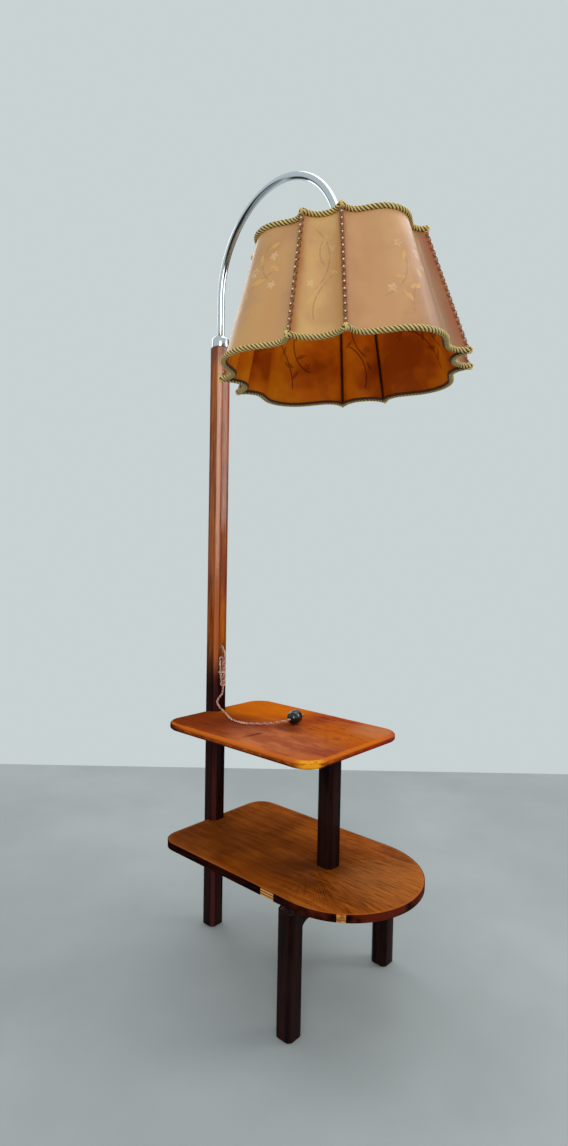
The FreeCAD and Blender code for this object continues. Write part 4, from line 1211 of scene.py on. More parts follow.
class NodeShop:
    """Geometry node trees: twisted strands along a line, and beads spaced along a line."""

    def new_tree(self, name: str,
                 sizes: dict[str, float]) -> tuple[Graph, Callable[[str], Sig], dict[str, str]]:
        """A tree with a Geometry input and output and named sizes.

        Args:
            name: The tree's name.
            sizes: The names and default values of its inputs.

        Returns:
            The graph, a function that gives an input by name, and the inputs' identifiers.
        """
        tree = bpy.data.node_groups.new(name, "GeometryNodeTree")
        tree.interface.new_socket("Geometry", in_out="INPUT", socket_type="NodeSocketGeometry")
        tree.interface.new_socket("Geometry", in_out="OUTPUT", socket_type="NodeSocketGeometry")
        keys = {}
        for label, value in sizes.items():
            kind = "NodeSocketInt" if isinstance(value, int) else "NodeSocketFloat"
            socket = tree.interface.new_socket(label, in_out="INPUT", socket_type=kind)
            socket.default_value = value
            keys[label] = socket.identifier
        graph = Graph(tree)
        given = graph.add("NodeGroupInput")
        return graph, lambda label: graph.out(given, label), keys

    def made(self, line: Object, graph: Graph, keys: dict[str, str], sizes: dict[str, float]) -> Mesh:
        """Run a tree on an object and give the mesh that it makes."""
        modifier = line.modifiers.new("shop", "NODES")
        modifier.node_group = graph.tree
        for label, value in sizes.items():
            modifier[keys[label]] = value
        return baked(line)

    def strands(self, line: Object, strands: Sequence[Strand], sizes: dict[str, float]) -> Mesh:
        """Twist strands about the lines of an object.

        Args:
            line: The object of bare edges; it is used up.
            strands: The strands.
            sizes: "Strand radius", "Lay radius", "Turns", "Steps" and "Sides".

        Returns:
            The mesh, with "along" and "around" kept on its points.
        """
        g, given, keys = self.new_tree(line.name + "_strands", sizes)
        curve = g.add("GeometryNodeMeshToCurve", None, {0: given("Geometry")})
        curve = g.add("GeometryNodeResampleCurve", None, {"Curve": g.out(curve), "Count": given("Steps")})
        share = g.out(g.add("GeometryNodeSplineParameter"), "Factor")
        length = g.out(g.add("GeometryNodeSplineParameter"), "Length")
        normal = g.out(g.add("GeometryNodeInputNormal"))
        tangent = g.out(g.add("GeometryNodeInputTangent"))
        other = g.vector("CROSS_PRODUCT", tangent, normal)
        joined = g.add("GeometryNodeJoinGeometry")
        for strand in strands:
            turn = share * given("Turns") * (2 * math.pi * strand.sense) + strand.phase
            offset = g.vector("ADD", g.scaled(normal, turn.cosine() * given("Lay radius")),
                              g.scaled(other, turn.sine() * given("Lay radius")))
            moved = g.add("GeometryNodeSetPosition", None, {"Geometry": g.out(curve), "Offset": offset})
            path = g.stored(moved, "along", length)
            ring = g.add("GeometryNodeCurvePrimitiveCircle", None,
                         {"Resolution": given("Sides"), "Radius": given("Strand radius") * strand.thick})
            turned = g.stored(ring, "around", share)
            skin = g.add("GeometryNodeCurveToMesh", None,
                         {"Curve": g.out(path), "Profile Curve": g.out(turned), "Fill Caps": True})
            skin = g.add("GeometryNodeSetMaterial", None,
                         {"Geometry": g.out(skin), "Material": strand.material})
            g.tree.links.new(skin.outputs[0], joined.inputs[0])
        whole = g.add("GeometryNodeRealizeInstances", None, {0: g.out(joined)})
        smooth = g.add("GeometryNodeSetShadeSmooth", None, {0: g.out(whole)})
        g.add("NodeGroupOutput", None, {0: g.out(smooth)})
        return self.made(line, g, keys, sizes)

    def beads(self, line: Object, material: Material, sizes: dict[str, float]) -> Mesh:
        """Set small beads along the lines of an object, proud in its "outward" direction.

        Args:
            line: The object of bare edges; it is used up.
            material: The beads' finish.
            sizes: "Pitch", "Bead radius" and "Proud".

        Returns:
            The mesh.
        """
        g, given, keys = self.new_tree(line.name + "_beads", sizes)
        curve = g.add("GeometryNodeMeshToCurve", None, {0: given("Geometry")})
        curve = g.add("GeometryNodeResampleCurve", {"mode": "LENGTH"},
                      {"Curve": g.out(curve), "Length": given("Pitch")})
        outward = g.out(g.add("GeometryNodeInputNamedAttribute", {"data_type": "FLOAT_VECTOR"},
                              {"Name": "outward"}))
        jitter = g.out(g.add("FunctionNodeRandomValue", {"data_type": "FLOAT"},
                             {2: 0.75, 3: 1.25, "Seed": 7}), 1)
        moved = g.add("GeometryNodeSetPosition", None,
                      {"Geometry": g.out(curve), "Offset": g.scaled(outward, given("Proud") * jitter)})
        turn = g.add("FunctionNodeAlignRotationToVector", {"axis": "Z"}, {"Vector": outward})
        ball = g.add("GeometryNodeMeshUVSphere", None,
                     {"Segments": 8, "Rings": 5, "Radius": given("Bead radius")})
        squashed = g.add("GeometryNodeTransform", None, {"Geometry": g.out(ball), "Scale": (1.0, 1.0, 0.7)})
        put = g.add("GeometryNodeInstanceOnPoints", None,
                    {"Points": g.out(moved), "Instance": g.out(squashed), "Rotation": g.out(turn)})
        whole = g.add("GeometryNodeRealizeInstances", None, {0: g.out(put)})
        smooth = g.add("GeometryNodeSetShadeSmooth", None, {0: g.out(whole)})
        coated = g.add("GeometryNodeSetMaterial", None, {"Geometry": g.out(smooth), "Material": material})
        g.add("NodeGroupOutput", None, {0: g.out(coated)})
        return self.made(line, g, keys, sizes)


SHOP = NodeShop()


def lay_sizes(radius: float, lay: float, turns: float, steps: int, sides: int) -> dict[str, float]:
    """The strand tree's inputs: strand and lay radius, turns, steps along and sides round."""
    return {"Strand radius": radius, "Lay radius": lay, "Turns": turns, "Steps": steps, "Sides": sides}


def twisted(name: str, lines: Sequence[Sequence[Vector]], closed: bool, strands: Sequence[Strand],
            sizes: dict[str, float]) -> Object:
    """An object of strands twisted about some lines."""
    return linked(name, SHOP.strands(line_object(name, lines, closed), strands, sizes))


def merged(name: str, meshes: Sequence[Mesh]) -> Object:
    """Several finished meshes as one object.

    Args:
        name: The object's name.
        meshes: The meshes, each with its materials.

    Returns:
        The object.
    """
    work = bmesh.new()
    mesh = bpy.data.meshes.new(name)
    for part in meshes:
        shift = len(mesh.materials)
        for material in part.materials:
            mesh.materials.append(material)
        for polygon in part.polygons:
            polygon.material_index += shift
        work.from_mesh(part)
    work.to_mesh(mesh)
    work.free()
    return linked(name, mesh)


# The stand.


@dataclass
class Woodwork:
    """The mast, boards, column, legs and rail, with their edges rounded by years of polish."""

    mast_round: float = 0.0009
    board_round: float = 0.0008
    shelf_round: float = 0.0005
    leg_round: float = 0.0012

    def build(self) -> None:
        """Make each wooden piece from its solid and dress it."""
        mast = PolishedWood("mast_wood", Grain.UPRIGHT, tone(16, 6, 5), tone(46, 19, 15), 0.61).material()
        leg = PolishedWood("leg_wood", Grain.UPRIGHT, tone(14, 8, 7), tone(44, 22, 19)).material()
        rail = PolishedWood("rail_wood", Grain.ACROSS, tone(14, 8, 7), tone(44, 22, 19)).material()
        softened("post", "mast", mast, self.mast_round)
        softened("short_column", "column", leg, self.mast_round)
        softened("front_leg", "leg_front", leg, self.leg_round, least=0.0012)
        softened("rear_leg", "leg_rear", leg, self.leg_round, least=0.0012)
        softened("cross_rail", "rail", rail, self.mast_round)
        softened("upper_table", "board_upper", self.upper_veneer(), self.board_round, 3)
        softened("lower_shelf", "board_lower", self.shelf_veneer(), self.shelf_round)
        softened("shelf_edge_band", "edge_strip", EdgeBand().material(), 0.0003, 1)

    def upper_veneer(self) -> Material:
        """The upper board's finish."""
        stops = ((0.0, tone(118, 44, 22)), (0.35, tone(156, 70, 30)), (0.7, tone(184, 92, 34)),
                 (1.0, tone(204, 112, 40)))
        return UpperVeneer("upper_veneer", UPPER_TOP_Z, stops, x0=-0.004, x1=0.442, half_width=0.163,
                           corner_r=0.046, round_end=False).material()

    def shelf_veneer(self) -> Material:
        """The lower shelf's finish."""
        stops = ((0.0, tone(90, 42, 12)), (0.35, tone(126, 62, 18)), (0.7, tone(156, 80, 22)),
                 (1.0, tone(182, 102, 32)))
        return ShelfVeneer("shelf_veneer", SHELF_TOP_Z, stops, x0=0.0, x1=0.574, half_width=0.170,
                           corner_r=0.046, round_end=True).material()


@dataclass
class StandMetal:
    """The collar on the mast's top, the bush in it and the board screws."""

    collar_r: float = 0.021
    collar_height: float = 0.027
    shoulder: float = 0.006
    bore: float = 0.0089
    ring_room: float = 0.0134
    ring_height: float = 0.0063

    def build(self) -> None:
        """Turn the collar; the hidden pieces stay as packed."""
        top = self.collar_height
        low = top - self.shoulder
        soft = 0.0012
        profile = [(self.ring_room, 0.0), (self.collar_r - soft, 0.0), (self.collar_r, soft),
                   (self.collar_r, low - soft), (self.collar_r - 0.3 * soft, low - 0.2 * soft),
                   (self.collar_r - soft, low + 0.7 * soft),
                   (self.collar_r - self.shoulder + 0.5 * soft, top - 0.7 * soft),
                   (self.collar_r - self.shoulder - 0.5 * soft, top), (self.bore, top),
                   (self.bore, self.ring_height), (self.ring_room, self.ring_height)]
        shell = Shell()
        shell.lathe(profile + profile[:1], 96, Matrix.Translation((0.0, 0.0, MAST_TOP_Z)))
        piece = shell.piece("collar", [CHROME.material()], 30.0)
        facing_out(piece.data, WELD)
        placed(piece, Body.STAND, ["post_collar"])
        dressed("arm_bush", BRASS.material())
        dressed("table_screws", BRASS.material())


# The bow.


def bow_line(low_z: float, straight_z: float, steps: int, tail: float) -> list[Vector]:
    """The bow's centre line in its own plane.

    Args:
        low_z: Where it starts, inside the mast.
        straight_z: A point on its upright part.
        steps: Steps round its half circle.
        tail: Its straight length after the half circle.

    Returns:
        The points.
    """
    line = [Vector((0.0, 0.0, low_z)), Vector((0.0, 0.0, straight_z))]
    for turn in spread(math.pi, BOW_TILT, steps):
        line.append(Vector((BOW_R + BOW_R * math.cos(turn), 0.0, BOW_START_Z + BOW_R * math.sin(turn))))
    line.append(line[-1] + Vector((math.sin(BOW_TILT), 0.0, -math.cos(BOW_TILT))) * tail)
    return line


@dataclass
class Bow:
    """The chrome bow with its stop ring and nipple."""

    wall: float = 0.0012
    low_z: float = 1.367
    straight_z: float = 1.50
    tail: float = 0.006
    bends: int = 120
    sides: int = 48
    soft: float = 0.0003
    ring_r: float = 0.013
    ring_low_z: float = 1.4341
    ring_high_z: float = 1.4401
    nipple_bore: float = 0.0034
    nipple_r: float = 0.005
    nipple_low: float = -0.015
    flange_r: float = 0.0072
    flange_low: float = -0.006
    flange_high: float = -0.0005

    def build(self) -> None:
        """Bend the walled tube, turn its stop ring and nipple."""
        soft, low, high = self.soft, self.ring_low_z, self.ring_high_z
        shell = Shell()
        self.walled_tube(shell, bow_line(self.low_z, self.straight_z, self.bends, self.tail))
        shell.lathe([(TUBE_R - soft, low), (self.ring_r - soft, low), (self.ring_r, low + soft),
                     (self.ring_r, high - soft), (self.ring_r - soft, high), (TUBE_R - soft, high)],
                    48, Matrix.Identity(4))
        nipple = [(self.nipple_bore, self.nipple_low), (self.nipple_r - soft, self.nipple_low),
                  (self.nipple_r, self.nipple_low + soft), (self.nipple_r, self.flange_low),
                  (self.flange_r, self.flange_low), (self.flange_r, self.flange_high),
                  (self.nipple_bore, self.flange_high), (self.nipple_bore, self.nipple_low)]
        shell.lathe(nipple, 32, ARM.inverted() @ LAMP)
        piece = shell.piece("bow", [CHROME.material()], 30.0, ARM)
        facing_out(piece.data, WELD)
        placed(piece, Body.ARM, ["arch_tube"])

    def walled_tube(self, shell: Shell, line: Sequence[Vector]) -> None:
        """Add a tube with its wall: the outer skin up the line, the inner one back.

        Args:
            shell: The mesh in the making.
            line: Points of the centre line.
        """
        rows = []
        side = Vector((0.0, 1.0, 0.0))
        there = list(range(len(line)))
        for reach, order in ((TUBE_R, there), (TUBE_R - self.wall, there[::-1])):
            for i in order:
                rows.append(hoop(line[i], side, heading(line, i).cross(side), reach, self.sides))
        rows.append(rows[0])
        shell.grid(rows, True)


# The shade.


class Kind(Enum):
    """The two kinds of panel round the shade."""

    WIDE = "wide"
    NARROW = "narrow"


@dataclass
class Shade:
    """The laced parchment shade on its wire frame, built down the lamp's axis."""

    drop: float = 0.026
    height: float = 0.244
    turn: float = -57.4
    seam_angle: float = 11.6
    top_seam_r: float = 0.1725
    bottom_seam_r: float = 0.2445
    bulge: float = 0.048
    crown_r: float = 0.075
    crown_half: float = 45.0
    flare_angle: float = 40.0
    dip: float = 0.032
    card: float = 0.0012
    margin: float = 0.002
    wire: float = 0.0026
    wire_fit: float = 0.00015
    rows: int = 12
    gimp_strand: float = 0.0020
    gimp_lay: float = 0.0033
    gimp_pitch: float = 0.0225
    lace_pitch: float = 0.014
    knot_reach: float = 0.0056
    knot_out: float = 0.0006
    knot_width: float = 0.0048
    knot_turns: float = 2.5
    knot_strand: float = 0.0013
    gimp_out: float = 0.0026
    gimp_step: float = 0.0019
    whip_in: float = 0.0024
    whip_strand: float = 0.0015
    whip_pitch: float = 0.009
    whip_step: float = 0.0015
    rim_rise: float = 0.0002
    rib_gap: float = 0.0004
    carrier_z: float = -0.0541
    carrier_bore: float = 0.0171
    carrier_r: float = 0.030
    carrier_thick: float = 0.002
    arm_r: float = 0.002
    arm_bite: float = 0.0025
    arm_short: float = 0.0041
    lace_strand: float = 0.0009
    lace_lay: float = 0.0030
    bead_r: float = 0.0017
    bead_proud: float = 0.0034

    def rims(self) -> tuple[float, float]:
        """The heights of the card's lower and upper rim on the lamp's axis."""
        return -self.drop - self.height + self.margin, -self.drop - self.margin

    def seam_angles(self) -> list[float]:
        """The directions of the eight seams, in degrees."""
        return [90.0 * quarter + side * self.seam_angle + self.turn
                for quarter in range(4) for side in (-1, 1)]

    def seam_point(self, z: float, angle: float, inside: float) -> Vector:
        """A point at a seam, a distance inside it."""
        return polar(self.bottom_seam_r * self.scale_at(z) - inside, angle) + Vector((0.0, 0.0, z))

    def scale_at(self, z: float) -> float:
        """The section's scale at a height of the lamp's axis."""
        low, high = self.rims()
        return 1.0 + (self.top_seam_r / self.bottom_seam_r - 1.0) * (z - low) / (high - low)

    def seam_meeting(self, centre: Vector, radius: float, half: float) -> float:
        """The angle on a hollow arc at which it meets the seam's plane.

        Args:
            centre: The arc's centre.
            radius: Its radius.
            half: The seam's angle from the panel's middle, in degrees.

        Returns:
            The angle in degrees.
        """
        seam = polar(1.0, half)
        across = Vector((-seam.y, seam.x, 0.0))
        along = centre.dot(seam) - math.sqrt(radius ** 2 - centre.dot(across) ** 2)
        gap = centre - seam * along
        return math.degrees(math.atan2(gap.y, gap.x))

    def section(self, kind: Kind, scale: float, half: float, inset: float) -> list[Vector]:
        """A panel's section from seam to seam, about the panel's own middle.

        Args:
            kind: Wide or narrow.
            scale: The section's scale.
            half: Half of the panel's angle, in degrees.
            inset: How far inside the outer face.

        Returns:
            The points.
        """
        chord = self.bottom_seam_r * math.cos(math.radians(half))
        across = self.bottom_seam_r * math.sin(math.radians(half))
        if kind is Kind.NARROW:
            radius = (across ** 2 + self.dip ** 2) / (2 * self.dip)
            centre = Vector((chord - self.dip + radius, 0.0, 0.0)) * scale
            hollow = radius * scale + inset
            end = self.seam_meeting(centre, hollow, half)
            return [centre - polar(hollow, a) for a in spread(-end, end, 44)]
        flank, flare = self.crown_parts(across)
        normal = polar(1.0, self.crown_half)
        along = Vector((-normal.y, normal.x, 0.0))
        crown = Vector((chord + self.bulge - self.crown_r, 0.0, 0.0)) * scale
        hollow = crown + (normal * (self.crown_r + flare) + along * flank) * scale
        seam = self.seam_meeting(hollow, flare * scale + inset, half)
        points = [crown + polar(self.crown_r * scale - inset, a) for a in spread(0.0, self.crown_half, 18)]
        last = points[-1]
        first = hollow - polar(flare * scale + inset, self.crown_half)
        points += [last.lerp(first, i / 4) for i in (1, 2, 3)]
        points += [hollow - polar(flare * scale + inset, a) for a in spread(self.crown_half, seam, 22)]
        mirrored = [Vector((p.x, -p.y, 0.0)) for p in reversed(points[1:])]
        return mirrored + points

    def crown_parts(self, across: float) -> tuple[float, float]:
        """A wide panel's flank length and flare radius, from its half chord and its bulge."""
        t = math.radians(self.crown_half)
        f = math.radians(self.flare_angle)
        side = across - self.crown_r * math.sin(t)
        deep = self.bulge - self.crown_r * (1 - math.cos(t))
        flare_across = math.sin(t) + math.sin(f)
        flare_deep = math.cos(f) - math.cos(t)
        det = math.cos(t) * flare_deep - flare_across * math.sin(t)
        flank = (side * flare_deep - flare_across * deep) / det
        flare = (math.cos(t) * deep - side * math.sin(t)) / det
        return flank, flare

    def panels(self) -> Iterable[tuple[Kind, int, float, float]]:
        """Each panel's kind, number, half angle and the direction of its middle."""
        for quarter in range(4):
            yield Kind.NARROW, quarter + 1, self.seam_angle, 90.0 * quarter + self.turn
            yield Kind.WIDE, quarter + 1, 45.0 - self.seam_angle, 90.0 * quarter + 45.0 + self.turn

    def build(self) -> None:
        """Make the panels, the wires and all the needlework."""
        self.build_panels()
        self.build_wires()
        self.build_gimp()
        self.build_lacing()

    def build_panels(self) -> None:
        """Eight sheets of card, each curved as its section and straight from rim to rim."""
        outer = {Kind.WIDE: Parchment("parchment_wide", WIDE_SPRAY, False).material(),
                 Kind.NARROW: Parchment("parchment_narrow", NARROW_SPRAY, False, tone(222, 180, 112),
                                        tone(216, 172, 112)).material()}
        inner = {Kind.WIDE: Parchment("parchment_wide_inside", WIDE_SPRAY, True).material(),
                 Kind.NARROW: Parchment("parchment_narrow_inside", NARROW_SPRAY, True).material()}
        low, high = self.rims()
        for kind, number, half, middle in self.panels():
            shell = Shell()
            turn = Matrix.Rotation(math.radians(middle), 4, "Z")
            skins = []
            for inset in (0.0, self.card):
                rows = []
                for i in range(self.rows + 1):
                    z = low + (high - low) * i / self.rows
                    line = self.section(kind, self.scale_at(z), half - 0.05, inset)
                    rows.append([turn @ Vector((p.x, p.y, z)) for p in line])
                    self.mark_sheet(shell, line, z - low)
                skins.append(shell.grid(rows, False, 0 if inset == 0.0 else 1))
            self.close_edges(shell, skins, len(rows[0]))
            piece = shell.piece(f"panel_{kind.value}_{number}", [outer[kind], inner[kind]], 50.0, LAMP)
            placed(piece, Body.ARM, [f"{kind.value}_panel_{number}"])

    def mark_sheet(self, shell: Shell, line: Sequence[Vector], height: float) -> None:
        """Keep each point's place on the flat sheet and its distance from the nearer seam.

        Args:
            shell: The mesh in the making.
            line: A row of points from seam to seam.
            height: The row's height above the lower rim.
        """
        walked = [0.0]
        for a, b in zip(line, line[1:]):
            walked.append(walked[-1] + (b - a).length)
        for step in walked:
            shell.flat.append((step - walked[-1] / 2, height))
            shell.seam.append(min(step, walked[-1] - step))

    def close_edges(self, shell: Shell, skins: Sequence[int], count: int) -> None:
        """Join a sheet's two faces round its four edges.

        Args:
            shell: The mesh in the making.
            skins: The first point of the outer and of the inner face.
            count: Points in a row.
        """
        outer, inner = skins
        last = self.rows * count
        around = list(range(count))
        around += [i * count + count - 1 for i in range(1, self.rows + 1)]
        around += [last + j for j in range(count - 2, -1, -1)]
        around += [i * count for i in range(self.rows - 1, 0, -1)]
        for a, b in zip(around, around[1:] + around[:1]):
            shell.faces.append((outer + a, outer + b, inner + b, inner + a))
            shell.slots.append(1)

    def rim_line(self, z: float, out: float) -> list[Vector]:
        """The scalloped rim as a closed line, rounded at its cusps.

        Args:
            z: Its height on the lamp's axis.
            out: How far it lies outside the card.

        Returns:
            The points.
        """
        points: list[Vector] = []
        for kind, _, half, middle in self.panels():
            line = self.section(kind, self.scale_at(z), half, 0.0)
            turn = Matrix.Rotation(math.radians(middle), 3, "Z")
            for i, p in enumerate(line):
                ahead = heading(line, i)
                normal = Vector((ahead.y, -ahead.x, 0.0))
                points.append(turn @ (p + normal * out))
        rounded = resampled(points, 0.0022)
        for _ in range(3):
            rounded = [(rounded[i - 1] + rounded[i] * 2 + rounded[(i + 1) % len(rounded)]) / 4
                       for i in range(len(rounded))]
        return [LAMP @ Vector((p.x, p.y, z)) for p in rounded]

    def build_wires(self) -> None:
        """The frame: a round wire inside each rim, a rib behind each seam, and the carrier."""
        tin = PlainMetal("frame_wire", tone(150, 140, 122), 0.42, 0.7).material()
        dark = PlainMetal("rib_wire", tone(96, 74, 54), 0.5, 0.7).material()
        low, high = self.rims()
        for name, z in (("bottom", low + self.wire / 2), ("top", high - self.wire / 2)):
            line = self.rim_line(z, -(self.card + self.wire_fit + self.wire / 2 + 0.0006))
            piece = twisted(f"wire_{name}", [line], True, [Strand(0.0, 1, dark)],
                            lay_sizes(self.wire / 2, 0.0, 1, 520, 8))
            placed(piece, Body.ARM, [f"{name}_frame_wire"])
        shell = Shell()
        behind = (self.card + self.wire_fit + self.wire / 2) / math.sin(self.seam_wedge())
        gap = self.wire + self.rib_gap
        for angle in self.seam_angles():
            ends = [self.seam_point(z, angle, behind) for z in (low + gap, high - gap)]
            shell.tube(ends, [self.wire / 2] * 2, 10)
        placed(shell.piece("wire_ribs", [dark], 40.0, LAMP), Body.ARM, ["seam_ribs"])
        self.build_carrier(tin)

    def build_carrier(self, metal: Material) -> None:
        """The ring under the lampholder's shoulder and its four arms to the upper wire."""
        top, low = self.carrier_z, self.carrier_z - self.carrier_thick
        soft = 0.2 * self.carrier_thick
        outer, bore = self.carrier_r, self.carrier_bore
        shell = Shell()
        shell.lathe([(bore, low), (outer - soft, low), (outer, low + soft), (outer, top - soft),
                     (outer - soft, top), (bore, top), (bore, low)], 64, Matrix.Identity(4))
        chord = self.top_seam_r * math.cos(math.radians(self.seam_angle))
        reach = chord - self.dip * self.top_seam_r / self.bottom_seam_r - self.arm_short
        arm_z = -self.drop - self.margin - self.wire / 2
        for quarter in range(4):
            angle = 90.0 * quarter + self.turn
            start = polar(outer - self.arm_bite, angle) + Vector((0.0, 0.0, (low + top) / 2))
            end = polar(reach, angle) + Vector((0.0, 0.0, arm_z))
            line = [start.lerp(end, s) for s in (0.0, 0.02, 0.5, 0.98, 1.0)]
            shell.tube(line, [self.arm_r * share for share in (0.7, 1.0, 1.0, 1.0, 0.7)], 14)
        piece = shell.piece("carrier", [metal], 35.0, LAMP)
        facing_out(piece.data, WELD)
        placed(piece, Body.ARM, ["shade_spider"])

    def seam_wedge(self) -> float:
        """The angle between a seam's plane and the narrow panel that ends there."""
        half = self.bottom_seam_r * math.sin(math.radians(self.seam_angle))
        radius = (half ** 2 + self.dip ** 2) / (2 * self.dip)
        return math.pi / 2 - math.asin(half / radius) - math.radians(self.seam_angle)

    def build_gimp(self) -> None:
        """Twisted gimp on both rims, and the dark whipping inside the lower one."""
        gold = Yarn("gimp_gold", tone(255, 236, 160), tone(190, 154, 74), 0.0016, 2.0,
                    tone(236, 212, 132)).material()
        # Thin olive strands lie in the gimp's grooves: partly its olive thread, partly painted shade in the
        # grooves.
        olive = Yarn("gimp_olive", tone(104, 88, 38), tone(46, 38, 16), 0.0010, 1.0).material()
        brown = Yarn("whipping_brown", tone(128, 92, 60), tone(46, 26, 16), 0.0010, 1.0,
                     tone(84, 56, 34)).material()
        low, high = self.rims()
        third = 2 * math.pi / 3
        gimp = [Strand(third * k, 1, gold) for k in range(3)]
        gimp += [Strand(third * (k + 0.5), 1, olive, 0.80) for k in range(3)]
        whip = [Strand(math.pi * k, 1, brown) for k in range(2)]
        for name, z in (("bottom", low - self.rim_rise), ("top", high + self.rim_rise)):
            line = self.rim_line(z, self.gimp_out)
            around = loop_length(line)
            sizes = lay_sizes(self.gimp_strand, self.gimp_lay, round(around / self.gimp_pitch),
                              round(around / self.gimp_step), 7)
            placed(twisted("gimp_" + name, [line], True, gimp, sizes), Body.ARM)
            inner = [self.rim_line(z, -self.whip_in)]
            sizes = lay_sizes(self.whip_strand, self.whip_strand, round(around / self.whip_pitch),
                              round(around / self.whip_step), 6)
            placed(twisted("whip_" + name, inner, True, whip, sizes), Body.ARM)
            knots = twisted("knots_" + name, self.knot_coils(z), False, [Strand(0.0, 1, gold)],
                            lay_sizes(self.knot_strand, 0.0, 1, 60, 6))
            placed(knots, Body.ARM)

    def knot_coils(self, z: float) -> list[list[Vector]]:
        """The small coils that tie the gimp down at each seam's foot and head."""
        coils = []
        for angle in self.seam_angles():
            outward = polar(1.0, angle)
            middle = self.seam_point(z, angle, -self.knot_out)
            along = Vector((-outward.y, outward.x, 0.0)) * self.knot_width
            coil = []
            for share in spread(0.0, 1.0, 48):
                turn = 2 * math.pi * self.knot_turns * share
                reach = outward * math.cos(turn) + Vector((0.0, 0.0, math.sin(turn)))
                coil.append(LAMP @ (middle + reach * self.knot_reach + along * (share - 0.5)))
            coils.append(coil)
        return coils

    def build_lacing(self) -> None:
        """The laced seams: crossing threads over each seam's edge, and a bead at each crossing."""
        thread = Yarn("lace_brown", tone(188, 136, 82), tone(96, 50, 26), 0.0010, 1.0,
                      tone(160, 92, 48)).material()
        pearl = Moulded("lace_pearl", tone(246, 236, 212), tone(222, 200, 156), 0.35).material()
        seams = []
        outward = []
        for angle in self.seam_angles():
            foot, head = [LAMP @ self.seam_point(z, angle, self.card) for z in self.rims()]
            seams.append([foot.lerp(head, share) for share in spread(0.0, 1.0, 60)])
            outward.append((LAMP.to_3x3() @ polar(1.0, angle)).normalized())
        turns = round(self.height / self.lace_pitch / 2)
        crossing = [Strand(math.pi * k, s, thread) for k in (0, 1) for s in (1, -1)]
        threads = SHOP.strands(line_object("lacing", seams, False), crossing,
                               lay_sizes(self.lace_strand, self.lace_lay, turns, turns * 16, 6))
        beads = SHOP.beads(line_object("beads", seams, False, outward), pearl, {
            "Pitch": self.lace_pitch, "Bead radius": self.bead_r, "Proud": self.bead_proud})
        placed(merged("seam_lacing", [threads, beads]), Body.ARM)


def polar(radius: float, degrees: float) -> Vector:
    """A point in the plane at a radius and an angle."""
    a = math.radians(degrees)
    return Vector((radius * math.cos(a), radius * math.sin(a), 0.0))


def spread(start: float, end: float, count: int) -> list[float]:
    """Evenly spaced values from start to end, both included."""
    return [start + (end - start) * i / count for i in range(count + 1)]


def loop_length(points: Sequence[Vector]) -> float:
    """The length of a closed line."""
    return sum((points[i] - points[i - 1]).length for i in range(len(points)))


def resampled(points: Sequence[Vector], step: float) -> list[Vector]:
    """A closed line divided into nearly equal steps.

    Args:
        points: The line's points.
        step: About how long a step is.

    Returns:
        The new points.
    """
    around = loop_length(points)
    count = round(around / step)
    gap = around / count
    loop = list(points) + [points[0]]
    made = []
    walked = 0.0
    wanted = 0.0
    for a, b in zip(loop, loop[1:]):
        length = (b - a).length
        while wanted < walked + length and len(made) < count:
            made.append(a.lerp(b, (wanted - walked) / length))
            wanted += gap
        walked += length
    return made


# The lampholder.


@dataclass
class Lampholder:
    """The lampholder, its key, the ring nut and the bulb."""

    bulb_r: float = 0.030
    cap_r: float = 0.0132
    neck_r: float = 0.012
    top: float = -0.0393
    length: float = 0.104
    cap_length: float = 0.024

    def build(self) -> None:
        """Soften the moulded pieces and blow the bulb."""
        black = Moulded("dark_bakelite", tone(30, 22, 19), tone(46, 30, 24), 0.20).material()
        white = Moulded("white_ceramic", tone(226, 222, 212), tone(214, 208, 194), 0.25).material()
        softened("lampholder_cap", "holder_cap", black, 0.0005, least=0.0015, bend=18.0)
        softened("lampholder_body", "holder_body", black, 0.0005, least=0.0015, bend=18.0)
        softened("shade_ring_nut", "ring_nut", black, 0.0006, least=0.0015)
        softened("switch_key", "key", black, 0.0006, least=0.0015)
        dressed("lampholder_insert", white)
        self.build_bulb()

    def build_bulb(self) -> None:
        """A threaded cap and a glass whose neck runs into its ball."""
        glass = FrostedGlass().material()
        centre = self.top - self.length + self.bulb_r
        neck_z = self.top - self.cap_length
        drop = neck_z - centre
        touch = 90.0 - math.degrees(math.acos(self.bulb_r / math.hypot(drop, self.neck_r))
                                    + math.asin(self.neck_r / math.hypot(drop, self.neck_r)))
        shell = Shell()
        glass_line = [(0.0, centre - self.bulb_r)]
        for a in spread(-84.0, touch, 26):
            glass_line.append((self.bulb_r * math.cos(math.radians(a)),
                               centre + self.bulb_r * math.sin(math.radians(a))))
        glass_line += [(self.neck_r + 0.0006, neck_z + 0.001), (self.neck_r, neck_z + 0.004)]
        shell.lathe(glass_line, 48, Matrix.Identity(4), 0)
        shell_cap = [(self.neck_r, neck_z + 0.0005)]
        for k in range(5):
            z = neck_z + 0.0015 + 0.0034 * k
            shell_cap += [(self.cap_r - 0.0007, z), (self.cap_r, z + 0.0017)]
        shell_cap += [(self.cap_r - 0.0007, neck_z + 0.0188), (0.0048, self.top - 0.0015),
                      (0.0044, self.top - 0.0003), (0.0, self.top)]
        shell.lathe(shell_cap, 40, Matrix.Identity(4), 1)
        placed(shell.piece("lamp_bulb", [glass, BRASS.material()], 50.0, LAMP), Body.ARM, ["bulb"])


# Cord and plug.


